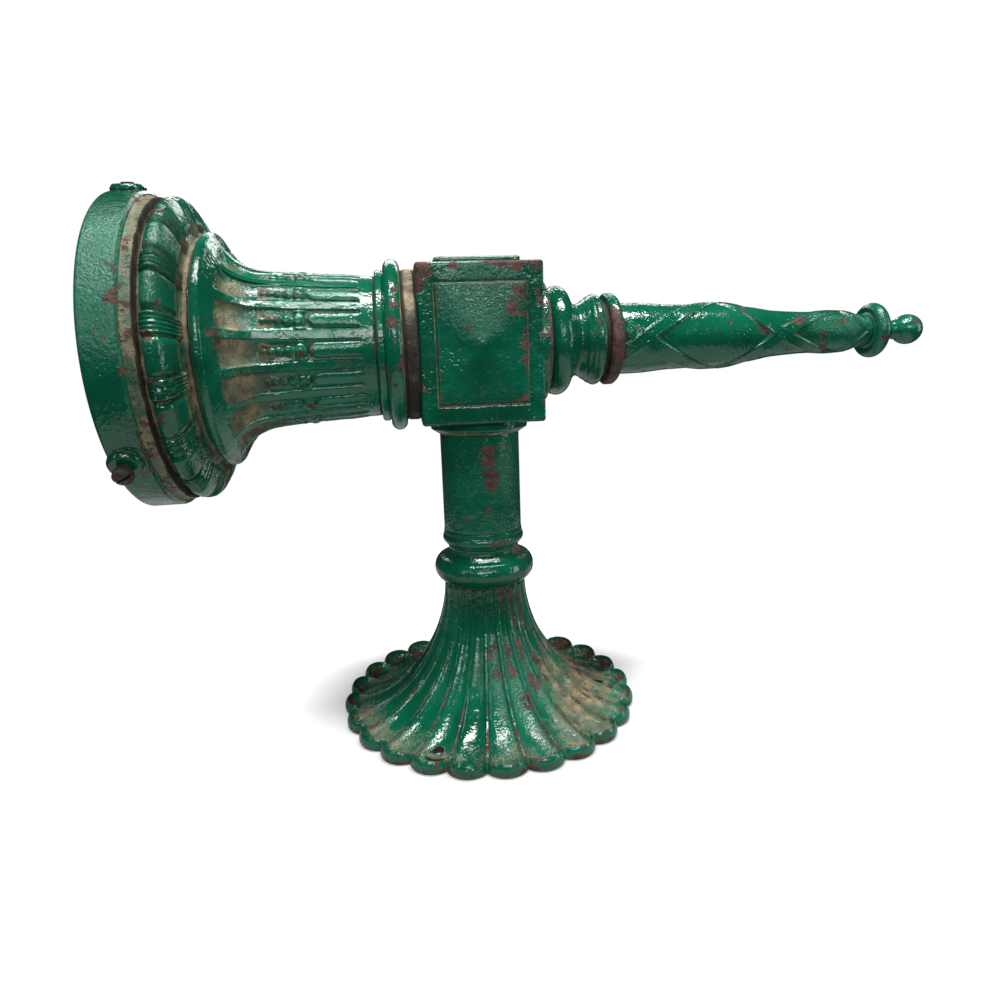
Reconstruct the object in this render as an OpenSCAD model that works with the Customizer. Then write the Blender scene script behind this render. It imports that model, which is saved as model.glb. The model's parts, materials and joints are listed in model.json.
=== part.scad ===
// Torch-form wall lamp bracket, cast iron: a fluted wall flange, a stem, a square junction block,
// a bell with a globe fitter on one side and a turned spire on the other.
// The wall face lies on z = 0, +Z points away from the wall, and the arm lies along X.

/* [Wall flange] */
// Radius at the tip of each scallop
flange_r = 94; // [80:1:120]
// Number of scallops round the rim
lobe_count = 24; // [12:1:36]
// Radius of the round end of one scallop
lobe_r = 12.4; // [10:0.2:16]
// Height of the scalloped rim
rim_h = 8.5; // [6:0.5:14]
// Thickness of the casting where it lies on the wall
edge_t = 4; // [3:0.5:6]
// Height of the flange from the wall to the seat of the collar
flange_h = 84; // [70:1:120]
// Radius of the flange at its neck
flange_neck_r = 25.5; // [23:0.5:30]
// Wall of the hollow flange
flange_wall = 4.2; // [3:0.2:6]
// Length of the solid hub that the stem pipe screws into
hub_len = 34; // [20:1:40]
// Pitch circle radius of the wall screws
screw_circle_r = 74; // [60:1:90]
// Diameter of the holes for the wall screws
wall_screw_d = 6.4; // [5:0.2:9]

/* [Stem] */
// Height of the turned collar on the flange
collar_h = 34; // [26:1:45]
// Radius of the large bead of the collar
collar_bead_r = 31.3; // [28:0.1:36]
// Length of the plain sleeve
sleeve_len = 60; // [40:1:120]
// Outer radius of the sleeve
sleeve_r = 24; // [21:0.5:28]
// Wall of the sleeve
sleeve_wall = 5; // [3:0.5:7]
// Height of the ring under the junction block
top_ring_h = 8; // [6:0.5:12]
// Radius of the ring under the junction block
top_ring_r = 29.3; // [27:0.1:33]

/* [Junction block] */
// Width of the block, along the arm and across it
block_w = 70; // [64:1:90]
// Height of the block
block_h = 88; // [80:1:110]
// Wall of the block
block_wall = 6; // [4:0.5:8]
// Width of a raised panel
panel_w = 50; // [40:1:60]
// Height of the raised panels on the front and the back
panel_h = 65; // [50:1:75]
// Step from the block up to a raised panel
panel_t = 2; // [1:0.5:4]
// Height of the low pyramid on a raised panel
pyramid_h = 4.5; // [2:0.5:8]
// Width of the square cover on the end of the block
cover_w = 48; // [46:1:58]
// Thickness of the cover
cover_t = 3.4; // [3:0.1:6]
// Radius of the access hole under the cover
access_r = 22.4; // [22:0.1:23.4]

/* [Pipes, rod and nuts] */
// Outer radius of the stem pipe and of the arm nipple
pipe_r = 13.35; // [12:0.05:14]
// Bore radius of the pipe
pipe_bore_r = 10.45; // [8:0.05:11]
// Width across the flats of a pipe locknut
locknut_af = 37; // [34:0.5:38]
// Thickness of a pipe locknut
locknut_t = 6.5; // [5:0.5:9]
// Radius of the tie rod that holds the spire
rod_r = 6.35; // [5:0.05:8]
// Width across the flats of the tie rod nut
rod_nut_af = 19; // [17:0.5:24]
// Thickness of the tie rod nut
rod_nut_t = 9; // [6:0.5:12]
// Depth that the tie rod reaches into the spire
rod_depth = 44; // [30:1:70]

/* [Bell] */
// Width of the turned neck collar between block and bell
neck_collar_len = 22; // [18:1:30]
// Radius of the bead on the neck collar
neck_bead_r = 48.6; // [46:0.1:52]
// Radius of the two plain rings on the neck collar
neck_ring_r = 43; // [41:0.5:45]
// Length of the fluted bell
bell_len = 90; // [70:1:110]
// Radius of the bell at its neck
bell_neck_r = 39.8; // [37:0.1:42]
// Radius of the rolled lip of the bell
bell_lip_r = 64.5; // [60:0.5:68]
// Width of the rolled lip of the bell
bell_lip_w = 7; // [5:0.5:9]
// Wall of the bell
bell_wall = 4.6; // [3:0.2:7]
// Number of flutes round the bell
flute_count = 16; // [12:2:24]
// Depth of a flute
flute_depth = 1.6; // [1:0.1:2.4]
// Thickness of the web across the neck of the bell
bell_web_t = 8; // [6:0.5:12]

/* [Globe fitter] */
// Width of the gadrooned ring
gadroon_w = 18; // [14:1:24]
// Radius at the crest of the gadrooned ring
gadroon_r = 82.5; // [78:0.5:90]
// Number of gadroons round the ring
gadroon_count = 16; // [12:1:24]
// Inner radius of the fitter band, which takes the neck of a six-inch globe
fitter_bore_r = 78; // [74:0.5:92]
// Wall of the fitter band
fitter_wall = 7.2; // [5:0.2:12]
// Length of the fitter along the arm
fitter_len = 24; // [20:1:34]
// Thickness of the floor that the globe rests on
fitter_floor_t = 4.5; // [3:0.5:7]
// Radius of the opening in the floor
fitter_eye_r = 52; // [48:1:56]
// Radius of the boss round each globe screw
boss_r = 9; // [7:0.5:10]
// Height of a boss above the band
boss_h = 3.2; // [2:0.2:5]
// Radius of a globe screw
globe_screw_r = 3.175; // [2.5:0.025:3.5]
// Distance from the rim of the band back to the globe screws
globe_screw_inset = 8; // [7:0.5:12]
// Direction of the first globe screw, from straight up
globe_screw_turn = -7; // [-30:1:30]

/* [Lampholder] */
// Outer radius of the porcelain body
holder_r = 21.5; // [19:0.5:24]
// Length of the porcelain body
holder_len = 40; // [34:1:46]
// Bore radius of the screw shell
shell_bore_r = 13.4; // [13:0.1:14]
// Radius of the small pipe that carries the lampholder
holder_stem_r = 5.1; // [4.5:0.1:6]
// Gap between the mouth of the lampholder and the fitter floor
holder_inset = 2; // [0:0.5:10]

/* [Spire] */
// Length of the turned spool
spool_len = 42; // [36:1:50]
// Radius of the large bead of the spool
spool_bead_r = 32.1; // [29:0.1:35]
// Radius of the waist of the spool
spool_waist_r = 21; // [18:0.5:23]
// Thickness of the plain washer
washer_t = 7; // [4:0.5:10]
// Radius of the plain washer
washer_r = 27.1; // [24:0.1:32]
// Length of the spire from the washer to the finial disc
spire_len = 165; // [120:1:220]
// Radius of the spire at its foot
spire_foot_r = 21.2; // [18:0.2:24]
// Radius of the spire at its tip
spire_tip_r = 9.6; // [8:0.2:12]
// Width of the finial disc
finial_disc_w = 9; // [6:0.5:14]
// Radius of the finial disc
finial_disc_r = 17.1; // [14:0.1:22]
// Radius of the finial ball
ball_r = 9.4; // [7:0.1:14]

/* [Clearances] */
// Clearance all round a threaded or pushed-in joint
fit_gap = 0.05; // [0.02:0.01:0.1]
// Clearance all round a globe screw in its thread
screw_gap = 0.03; // [0.02:0.01:0.08]
// Clearance all round a pipe or rod that only passes through a casting
pass_gap = 0.6; // [0.3:0.1:1]

/* [Hidden] */

$fn = 64;
green = [0.02, 0.30, 0.20];
rust = [0.36, 0.24, 0.20];
steel = [0.45, 0.43, 0.41];
brass_tone = [0.72, 0.56, 0.28];
porcelain = [0.92, 0.91, 0.87];
eps = 0.01;

// Heights up the stem
collar_z = flange_h;
sleeve_z = collar_z + collar_h;
top_ring_z = sleeve_z + sleeve_len;
block_z = top_ring_z + top_ring_h;
arm_h = block_z + block_h / 2;
block_top_z = block_z + block_h;

// Radii of the scalloped rim
lobe_circle_r = flange_r - lobe_r;
foot_r = flange_r - 4.5;
flare_power = 1.85;
hub_z = flange_h - hub_len;

// Distances out along the arm on the bell side, from the stem axis
face = block_w / 2;
bell_s = face + neck_collar_len;
lip_s = bell_s + bell_len - bell_lip_w;
gadroon_s = bell_s + bell_len;
fitter_s = gadroon_s + gadroon_w;
fitter_r = fitter_bore_r + fitter_wall;
seat_s = fitter_s + fitter_floor_t;
rim_s = fitter_s + fitter_len;
globe_screw_s = rim_s - globe_screw_inset;
bell_power = 2.5;
holder_mouth_s = fitter_s - holder_inset;
holder_s = holder_mouth_s - holder_len;
holder_floor_t = 7;
contact_well_h = 4;
contact_well_r = 11;
shell_seat = holder_floor_t + contact_well_h;
shell_t = 0.8;
holder_cap_t = 9;

// Distances out along the arm on the spire side
boss_t = 5;
boss_face_s = face + boss_t;
washer_s = face + spool_len;
spire_s = washer_s + washer_t;
finial_s = spire_s + spire_len;
ball_s = finial_s + finial_disc_w + 11 + ball_r;

// Fasteners
nipple_in_s = face - block_wall - locknut_t - 2;
nipple_out_s = bell_s + bell_web_t + locknut_t + 10;
pipe_low_z = hub_z - locknut_t - 3;
pipe_top_z = block_z + block_wall + locknut_t + 2;
rod_washer_t = 2.5;
rod_washer_r = 14;
rod_in_s = face - block_wall - rod_washer_t - rod_nut_t - 3;
rod_out_s = spire_s + rod_depth;
cover_screw_r = 2;
cover_head_h = 1.9;
cover_head_r = 3.9;
cover_screw_xy = 19.5;
fitter_screw_r = 2.5;
fitter_screw_grip = 5;
fitter_screw_circle = (fitter_eye_r + bell_lip_r - 1) / 2;
fitter_head_h = 2.6;
fitter_head_r = 4.4;
head_gap = 0.1;
head_drop = 0.2;
stud_r = 3.95;
stud_depth = 16;

// Points on an arc, from angle a to angle b
function arc(cx, cy, r, a, b, n = 8) =
    [for (i = [0 : n]) let (t = a + (b - a) * i / n) [cx + r * cos(t), cy + r * sin(t)]];

// Radius at share w of the way up a concave flare that narrows from foot to neck
function flare_r(foot, neck, w, power) =
    foot - (foot - neck) * pow(1 - pow(1 - w, power), 1 / power);

// Radius of the ridge line of the wall flange at height z
function ridge_r(z) =
    flare_r(foot_r, flange_neck_r, max(0, min(1, (z - edge_t) / (flange_h - edge_t))), flare_power);

// Radius of the outside of the bell at distance s from the stem axis
function bell_r(s) =
    flare_r(bell_lip_r - 1, bell_neck_r, max(0, min(1, (lip_s - s) / (lip_s - bell_s))), bell_power);

// Places a shape that is drawn along +Z so that it points out along the arm
module bell_side() {
    translate([0, 0, arm_h]) rotate([0, -90, 0]) children();
}

module spire_side() {
    translate([0, 0, arm_h]) rotate([0, 90, 0]) children();
}

// A tube with its foot at height z
module tube(r_out, r_in, z, h) {
    translate([0, 0, z]) difference() {
        cylinder(r = r_out, h = h);
        translate([0, 0, -1]) cylinder(r = r_in, h = h + 2);
    }
}

// A round hole cut from z to z + h, with a little to spare at both ends
module hole(r, z, h) {
    translate([0, 0, z - 1]) cylinder(r = r, h = h + 2);
}

// A hexagon nut with its foot at height z
module hex_nut(af, bore_r, z, t) {
    translate([0, 0, z]) difference() {
        cylinder(r = af / 2 / cos(30), h = t, $fn = 6);
        hole(bore_r, 0, t);
    }
}

// A conical recess for a screw head, open at its top
module countersink(r, head_r, h) {
    cylinder(r1 = r, r2 = head_r, h = h);
    translate([0, 0, h - eps]) cylinder(r = head_r, h = 1);
}

// A driver slot across a head of radius r whose top is at height z
module driver_slot(r, w, depth, z) {
    translate([-r - 1, -w / 2, z - depth]) cube([2 * r + 2, w, depth + 1]);
}

// ---- Wall flange and stem ----

module flange_bell() {
    steps = 14;
    outer = [for (i = [0 : steps]) let (w = pow(i / steps, 1.8), z = edge_t + w * (flange_h - edge_t))
        [ridge_r(z), z]];
    rotate_extrude() polygon(concat([[0, 0], [foot_r, 0]], outer, [[0, flange_h]]));
}

module flange_cavity() {
    steps = 10;
    wall_line = [for (i = [0 : steps]) let (z = hub_z * pow(i / steps, 1.5))
        [ridge_r(z + flange_wall) - flange_wall, z]];
    rotate_extrude() polygon(concat([[0, -1], [wall_line[0][0], -1]], wall_line, [[0, hub_z]]));
}

// One scallop of the rim, with a rounded shoulder
module lobe() {
    shoulder = 3;
    rotate_extrude($fn = 32) polygon([
        [0, 0], [lobe_r, 0], [lobe_r, rim_h - shoulder], [lobe_r - 1, rim_h - 1],
        [lobe_r - shoulder, rim_h], [0, rim_h]
    ]);
}

module wall_screw_places() {
    for (k = [0 : 2]) {
        rotate([0, 0, k * 120]) translate([screw_circle_r, 0, 0]) children();
    }
}

// Hollow flange, with a pad under each wall screw so that it bears on the wall
module wall_flange() {
    pad_r = wall_screw_d / 2 + 5;
    pad_h = edge_t + 1.5;
    color(green) difference() {
        union() {
            difference() {
                union() {
                    flange_bell();
                    for (k = [0 : lobe_count - 1]) {
                        rotate([0, 0, k * 360 / lobe_count]) translate([lobe_circle_r, 0, 0]) lobe();
                    }
                }
                flange_cavity();
            }
            wall_screw_places() cylinder(r = pad_r, h = pad_h);
        }
        hole(pipe_r + fit_gap, 0, flange_h);
        wall_screw_places() hole(wall_screw_d / 2, 0, flange_h / 2);
    }
}

module flange_locknut() {
    color(steel) hex_nut(locknut_af, pipe_r + fit_gap, hub_z - locknut_t, locknut_t);
}

module stem_pipe() {
    color(steel) tube(pipe_r, pipe_bore_r, pipe_low_z, pipe_top_z - pipe_low_z);
}

// Turned collar: a large bead, a cove and a small bead under the sleeve
module stem_collar() {
    big = collar_h * 0.26;
    small = collar_h * 0.12;
    small_r = sleeve_r + 1.3;
    cove_r = sleeve_r - 2.4;
    profile = concat(
        [[pipe_r + pass_gap, 0], [flange_neck_r, 0]],
        arc(collar_bead_r - big, big, big, -80, 62, 10),
        [[cove_r + 1.2, collar_h * 0.60], [cove_r, collar_h * 0.66], [cove_r + 0.6, collar_h * 0.72]],
        arc(small_r - small, collar_h - small - 0.8, small, -60, 80, 6),
        [[sleeve_r - 1, collar_h], [pipe_r + pass_gap, collar_h]]
    );
    color(green) translate([0, 0, collar_z]) rotate_extrude() polygon(profile);
}

module stem_sleeve() {
    color(green) tube(sleeve_r, sleeve_r - sleeve_wall, sleeve_z, sleeve_len);
}

// Ring under the block, with a spigot that centres the sleeve
module stem_top_ring() {
    spigot_h = 6;
    spigot_r = sleeve_r - sleeve_wall - fit_gap;
    profile = [
        [pipe_r + pass_gap, -spigot_h], [spigot_r, -spigot_h], [spigot_r, 0], [sleeve_r + 1, 0],
        [top_ring_r, 2.4], [top_ring_r, top_ring_h], [pipe_r + pass_gap, top_ring_h]
    ];
    color(green) translate([0, 0, top_ring_z]) rotate_extrude() polygon(profile);
}

// ---- Junction block ----

// Raised panel with a low pyramid, drawn on the face z = 0 and pointing out along +Z
module raised_panel(w, h) {
    linear_extrude(panel_t) square([w, h], center = true);
    translate([0, 0, panel_t - eps]) polyhedron(
        points = [
            [-w / 2, -h / 2, 0], [w / 2, -h / 2, 0], [w / 2, h / 2, 0], [-w / 2, h / 2, 0],
            [0, 0, pyramid_h]
        ],
        faces = [[0, 1, 2, 3], [1, 0, 4], [2, 1, 4], [3, 2, 4], [0, 3, 4]]
    );
}

// Square hollow block: bored for the stem below, the arm at both sides and the cover on its end
module junction_block() {
    color(green) difference() {
        union() {
            translate([-block_w / 2, -block_w / 2, block_z]) cube([block_w, block_w, block_h]);
            for (side = [0, 180]) {
                rotate([0, 0, side]) translate([0, -block_w / 2 + eps, arm_h])
                    rotate([90, 0, 0]) raised_panel(panel_w, panel_h);
            }
            spire_side() translate([0, 0, face - eps]) cylinder(r = block_w / 2 + 0.5, h = boss_t + eps);
        }
        translate([-block_w / 2 + block_wall, -block_w / 2 + block_wall, block_z + block_wall])
            cube([block_w - 2 * block_wall, block_w - 2 * block_wall, block_h - 2 * block_wall]);
        translate([0, 0, block_z]) hole(pipe_r + fit_gap, 0, block_wall);
        translate([0, 0, block_top_z - block_wall]) hole(access_r, 0, block_wall);
        bell_side() hole(pipe_r + fit_gap, face - block_wall, block_wall);
        spire_side() hole(rod_r + fit_gap, face - block_wall, block_wall + boss_t);
        cover_screw_places() hole(cover_screw_r + fit_gap, 0, block_wall);
    }
}

module block_locknut() {
    color(steel) hex_nut(locknut_af, pipe_r + fit_gap, block_z + block_wall, locknut_t);
}

module cover_screw_places() {
    for (side = [-1, 1]) {
        translate([side * cover_screw_xy, side * cover_screw_xy, block_top_z - block_wall]) children();
    }
}

// Square cover with a round spigot that drops into the access hole
module block_cover() {
    spigot_h = 3;
    spigot_gap = 0.3;
    color(green) difference() {
        union() {
            translate([-cover_w / 2, -cover_w / 2, block_top_z]) cube([cover_w, cover_w, cover_t]);
            translate([0, 0, block_top_z - spigot_h])
                cylinder(r = access_r - spigot_gap, h = spigot_h + eps);
        }
        cover_screw_places() {
            hole(cover_screw_r + fit_gap, block_wall, cover_t);
            translate([0, 0, block_wall + cover_t - cover_head_h])
                countersink(cover_screw_r + fit_gap, cover_head_r + head_gap, cover_head_h);
        }
    }
}

// Two countersunk screws that end flush with the inside of the block
module cover_screws() {
    head_s = block_wall + cover_t - cover_head_h;
    color(steel) cover_screw_places() {
        cylinder(r = cover_screw_r, h = head_s + eps);
        translate([0, 0, head_s]) difference() {
            cylinder(r1 = cover_screw_r, r2 = cover_head_r, h = cover_head_h);
            driver_slot(cover_head_r, 1, 0.9, cover_head_h);
        }
    }
}

// ---- Arm on the bell side ----

module arm_nipple() {
    color(steel) bell_side() tube(pipe_r, pipe_bore_r, nipple_in_s, nipple_out_s - nipple_in_s);
}

module nipple_inner_locknut() {
    color(steel) bell_side()
        hex_nut(locknut_af, pipe_r + fit_gap, face - block_wall - locknut_t, locknut_t);
}

module nipple_outer_locknut() {
    color(steel) bell_side() hex_nut(locknut_af, pipe_r + fit_gap, bell_s + bell_web_t, locknut_t);
}

// Turned collar against the block: a plain ring, a bead and a second ring against the bell
module neck_collar() {
    bead = neck_collar_len * 0.2;
    bead_s = neck_collar_len * 0.57;
    profile = concat(
        [[pipe_r + pass_gap, 0], [neck_ring_r, 0], [neck_ring_r, bead_s - bead - 0.6]],
        arc(neck_bead_r - bead, bead_s, bead, -82, 82, 10),
        [[neck_ring_r, bead_s + bead + 0.6], [neck_ring_r, neck_collar_len - 1]],
        [[neck_ring_r - 1, neck_collar_len], [pipe_r + pass_gap, neck_collar_len]]
    );
    color(green) bell_side() translate([0, 0, face]) rotate_extrude() polygon(profile);
}

module bell_shell() {
    steps = 12;
    lip = bell_lip_w / 2;
    outer = [for (i = [0 : steps]) let (s = lip_s - pow(i / steps, 1.8) * (lip_s - bell_s)) [bell_r(s), s]];
    inner = [for (i = [0 : steps]) let (s = lip_s - pow(i / steps, 1.8) * (lip_s - bell_s - bell_web_t))
        [bell_r(s - bell_wall) - bell_wall, s]];
    mouth_r = min(fitter_eye_r, bell_lip_r - bell_wall);
    profile = concat(
        [for (i = [steps : -1 : 0]) outer[i]],
        arc(bell_lip_r - lip, lip_s + lip, lip, -70, 70, 6),
        [[bell_lip_r - lip, gadroon_s], [mouth_r, gadroon_s]],
        [for (i = [0 : steps]) [min(mouth_r, inner[i][0]), inner[i][1]]],
        [[pipe_r + fit_gap, bell_s + bell_web_t], [pipe_r + fit_gap, bell_s]]
    );
    rotate_extrude() polygon(profile);
}

// Hollow bell with straight flutes along its neck
module fluted_bell() {
    cutter_r = 5;
    flute_s = bell_s + 8;
    flute_len = bell_len * 0.4;
    color(green) bell_side() difference() {
        bell_shell();
        for (k = [0 : flute_count - 1]) {
            rotate([0, 0, k * 360 / flute_count])
                translate([bell_neck_r + cutter_r - flute_depth + 0.6, 0, flute_s])
                    cylinder(r = cutter_r, h = flute_len, $fn = 24);
        }
        fitter_screw_places()
            hole(fitter_screw_r + fit_gap, gadroon_s - fitter_screw_grip - 1, fitter_screw_grip + 1);
    }
}

module fitter_screw_places() {
    for (k = [0 : 2]) {
        rotate([0, 0, 60 + k * 120]) translate([fitter_screw_circle, 0, 0]) children();
    }
}

// Ring of gadroons between the bell and the globe fitter
module gadroon_ring() {
    crest = gadroon_w * 0.5;
    gap_w = 2;
    bore_r = fitter_eye_r;
    core_r = gadroon_r - 2.5;
    swell = concat(
        [[bore_r, 0], [bell_lip_r - 1, 0]],
        arc(gadroon_r - crest, crest, crest, -58, 58, 12),
        [[fitter_r - 9, gadroon_w], [bore_r, gadroon_w]]
    );
    core = concat(
        [[bore_r, 0], [bell_lip_r - 2, 0]],
        arc(core_r - crest + 1, crest, crest - 1, -60, 60, 12),
        [[fitter_r - 11, gadroon_w], [bore_r, gadroon_w]]
    );
    color(green) bell_side() translate([0, 0, gadroon_s]) difference() {
        union() {
            rotate_extrude() polygon(core);
            difference() {
                rotate_extrude() polygon(swell);
                for (k = [0 : gadroon_count - 1]) {
                    rotate([0, 0, (k + 0.5) * 360 / gadroon_count])
                        translate([bell_lip_r, -gap_w / 2, -1]) cube([40, gap_w, gadroon_w + 2]);
                }
            }
        }
        fitter_screw_places() hole(fitter_screw_r + fit_gap, 0, gadroon_w);
    }
}

// The three globe screws stand round the band, the first one near the top
module globe_screw_place(k) {
    rotate([0, 0, globe_screw_turn + k * 120]) translate([0, 0, globe_screw_s])
        rotate([0, 90, 0]) children();
}

// Fitter: a band round the neck of the globe, on a floor with a wide opening
module globe_fitter() {
    step_r = fitter_r - 2.7;
    step_w = 5.5;
    boss_root = fitter_wall / 2;
    profile = [
        [fitter_eye_r, 0], [step_r, 0], [step_r, step_w], [fitter_r, step_w + 0.8],
        [fitter_r, fitter_len - 1], [fitter_r - 1, fitter_len], [fitter_bore_r, fitter_len],
        [fitter_bore_r, fitter_floor_t], [fitter_eye_r, fitter_floor_t]
    ];
    color(green) bell_side() difference() {
        union() {
            translate([0, 0, fitter_s]) rotate_extrude() polygon(profile);
            for (k = [0 : 2]) {
                globe_screw_place(k) translate([0, 0, fitter_r - boss_root])
                    cylinder(r = boss_r, h = boss_root + boss_h);
            }
        }
        for (k = [0 : 2]) {
            globe_screw_place(k) hole(globe_screw_r + screw_gap, fitter_bore_r - 1, fitter_wall + boss_h + 1);
        }
        fitter_screw_places() {
            hole(fitter_screw_r + fit_gap, fitter_s, fitter_floor_t);
            translate([0, 0, seat_s - fitter_head_h])
                countersink(fitter_screw_r + fit_gap, fitter_head_r + head_gap, fitter_head_h);
        }
    }
}

// Three countersunk screws that hold fitter, gadroon ring and bell together, just below the floor
module fitter_screws() {
    tip_s = gadroon_s - fitter_screw_grip;
    head_s = seat_s - fitter_head_h;
    head_h = fitter_head_h - head_drop;
    top_r = fitter_screw_r + (fitter_head_r - fitter_screw_r) * head_h / fitter_head_h;
    color(steel) bell_side() fitter_screw_places() {
        translate([0, 0, tip_s]) cylinder(r = fitter_screw_r, h = head_s - tip_s + eps);
        translate([0, 0, head_s]) difference() {
            cylinder(r1 = fitter_screw_r, r2 = top_r, h = head_h);
            driver_slot(top_r, 1.2, 1.2, head_h);
        }
    }
}

// A slotted globe screw with a fillister head, its tip inside the band
module globe_screw() {
    tip_r = fitter_bore_r - 4;
    head_base = fitter_r + boss_h + 2.6;
    head_r = globe_screw_r * 1.58;
    head_t = 5;
    translate([0, 0, tip_r]) cylinder(r = globe_screw_r, h = head_base - tip_r + eps);
    translate([0, 0, head_base]) difference() {
        union() {
            cylinder(r = head_r, h = head_t - 1);
            translate([0, 0, head_t - 1 - eps]) cylinder(r1 = head_r, r2 = head_r - 0.9, h = 1);
        }
        driver_slot(head_r, 1.4, 1.8, head_t);
    }
}

// A headless set screw, just proud of its boss
module globe_set_screw() {
    tip_r = fitter_bore_r - 2.5;
    end_r = fitter_r + boss_h + 1;
    color(rust) bell_side() globe_screw_place(0) difference() {
        translate([0, 0, tip_r]) cylinder(r = globe_screw_r, h = end_r - tip_r);
        driver_slot(globe_screw_r, 1.1, 1.6, end_r);
    }
}

module globe_screw_front() {
    color(rust) bell_side() globe_screw_place(2) globe_screw();
}

module globe_screw_back() {
    color(rust) bell_side() globe_screw_place(1) globe_screw();
}

// ---- Lampholder ----

// Bushing that steps the pipe thread of the arm down to the lampholder stem
module reducing_bushing() {
    spigot_len = 8;
    hex_len = 6;
    color(brass_tone) bell_side() difference() {
        union() {
            translate([0, 0, nipple_out_s - spigot_len])
                cylinder(r = pipe_bore_r - fit_gap, h = spigot_len + eps);
            translate([0, 0, nipple_out_s]) cylinder(r = pipe_r + 1, h = hex_len, $fn = 6);
        }
        hole(holder_stem_r + fit_gap, nipple_out_s - spigot_len, spigot_len + hex_len);
    }
}

module lampholder_stem() {
    foot = nipple_out_s - 6;
    stem_wall = 1.7;
    color(steel) bell_side()
        tube(holder_stem_r, holder_stem_r - stem_wall, foot, holder_s - 3 - foot);
}

// Brass cap that screws to the stem and closes the lampholder
module lampholder_cap() {
    profile = [
        [holder_stem_r + fit_gap, -holder_cap_t], [8.5, -holder_cap_t], [10, -holder_cap_t + 2],
        [holder_r - 3, -4], [holder_r - 1, -1.5], [holder_r - 1, 0], [holder_r - 3, 0],
        [holder_r - 5, -2.5], [holder_stem_r + fit_gap, -holder_cap_t + 3.5]
    ];
    color(brass_tone) bell_side() translate([0, 0, holder_s]) rotate_extrude() polygon(profile);
}

// Porcelain body: a cup round the screw shell
module lampholder_body() {
    bore = shell_bore_r + shell_t + fit_gap;
    wire_hole_r = 1.6;
    wire_hole_x = 8;
    profile = concat(
        [[0, 0], [holder_r, 0], [holder_r, holder_len * 0.45], [holder_r - 1.6, holder_len * 0.5]],
        arc(holder_r - 4, holder_len - 2.4, 2.4, 0, 90, 5),
        [[bore, holder_len], [bore, shell_seat], [contact_well_r, shell_seat]],
        [[contact_well_r, holder_floor_t], [0, holder_floor_t]]
    );
    color(porcelain) bell_side() translate([0, 0, holder_s]) difference() {
        rotate_extrude() polygon(profile);
        for (side = [-1, 1]) {
            translate([side * wire_hole_x, 0, 0]) hole(wire_hole_r, 0, holder_floor_t);
        }
    }
}

// Screw shell of the lampholder, a brass cup without a floor in its middle
module lampholder_shell() {
    shell_len = holder_len - shell_seat - 3;
    outer_r = shell_bore_r + shell_t;
    profile = [
        [contact_well_r - 3, 0], [outer_r, 0], [outer_r, shell_len], [shell_bore_r, shell_len],
        [shell_bore_r, shell_t], [contact_well_r - 3, shell_t]
    ];
    color(brass_tone) bell_side() translate([0, 0, holder_s + shell_seat])
        rotate_extrude() polygon(profile);
}

// Centre contact in the floor of the lampholder
module lampholder_contact() {
    color(brass_tone) bell_side() translate([0, 0, holder_s + holder_floor_t]) {
        cylinder(r = 6, h = 1);
        translate([0, 0, 1 - eps]) cylinder(r1 = 4.8, r2 = 3.6, h = 2);
    }
}

// ---- Arm on the spire side ----

module tie_rod() {
    color(steel) spire_side() translate([0, 0, rod_in_s]) cylinder(r = rod_r, h = rod_out_s - rod_in_s);
}

module tie_rod_washer() {
    color(steel) spire_side()
        tube(rod_washer_r, rod_r + pass_gap, face - block_wall - rod_washer_t, rod_washer_t);
}

module tie_rod_nut() {
    color(steel) spire_side()
        hex_nut(rod_nut_af, rod_r + fit_gap, face - block_wall - rod_washer_t - rod_nut_t, rod_nut_t);
}

// Turned spool: a large bead, a waist and a stepped cone up to a second disc
module spool() {
    len = spool_len - boss_t;
    bead = len * 0.19;
    disc_r = washer_r - 0.2;
    profile = concat(
        [[rod_r + pass_gap, 0], [spool_bead_r - bead - 1, 0]],
        arc(spool_bead_r - bead, bead + 0.3, bead, -75, 75, 10),
        [[spool_waist_r + 3, len * 0.43], [spool_waist_r, len * 0.52], [spool_waist_r + 0.6, len * 0.6]],
        [[disc_r - 3.6, len * 0.72], [disc_r - 3.2, len * 0.76], [disc_r - 1, len * 0.8]],
        arc(disc_r - 2, len * 0.86, 2, -60, 80, 5),
        [[spool_waist_r + 1.5, len * 0.93], [spool_waist_r + 1.5, len], [rod_r + pass_gap, len]]
    );
    color(green) spire_side() translate([0, 0, boss_face_s]) rotate_extrude() polygon(profile);
}

module spire_washer() {
    profile = [
        [rod_r + pass_gap, 0], [washer_r - 1, 0], [washer_r, 1], [washer_r, washer_t - 1.5],
        [washer_r - 1.5, washer_t], [rod_r + pass_gap, washer_t]
    ];
    color(rust) spire_side() translate([0, 0, washer_s]) rotate_extrude() polygon(profile);
}

// Radius of the spire at share t of its length: a taper with two slow swells
function spire_r(t) =
    spire_foot_r + (spire_tip_r - spire_foot_r) * pow(t, 1.15) + 0.9 * sin(720 * t - 90) * (1 - t);

// Turned spire, bored from its foot for the tie rod and from its tip for the finial stud
module spire() {
    steps = 24;
    side = [for (i = [0 : steps]) [spire_r(i / steps), spire_len * i / steps]];
    color(green) spire_side() translate([0, 0, spire_s]) difference() {
        rotate_extrude() polygon(concat([[0, 0]], side, [[0, spire_len]]));
        translate([0, 0, -1]) cylinder(r = rod_r + fit_gap, h = rod_depth + 3);
        translate([0, 0, spire_len - stud_depth - 2]) cylinder(r = stud_r + fit_gap, h = stud_depth + 3);
    }
}

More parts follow.
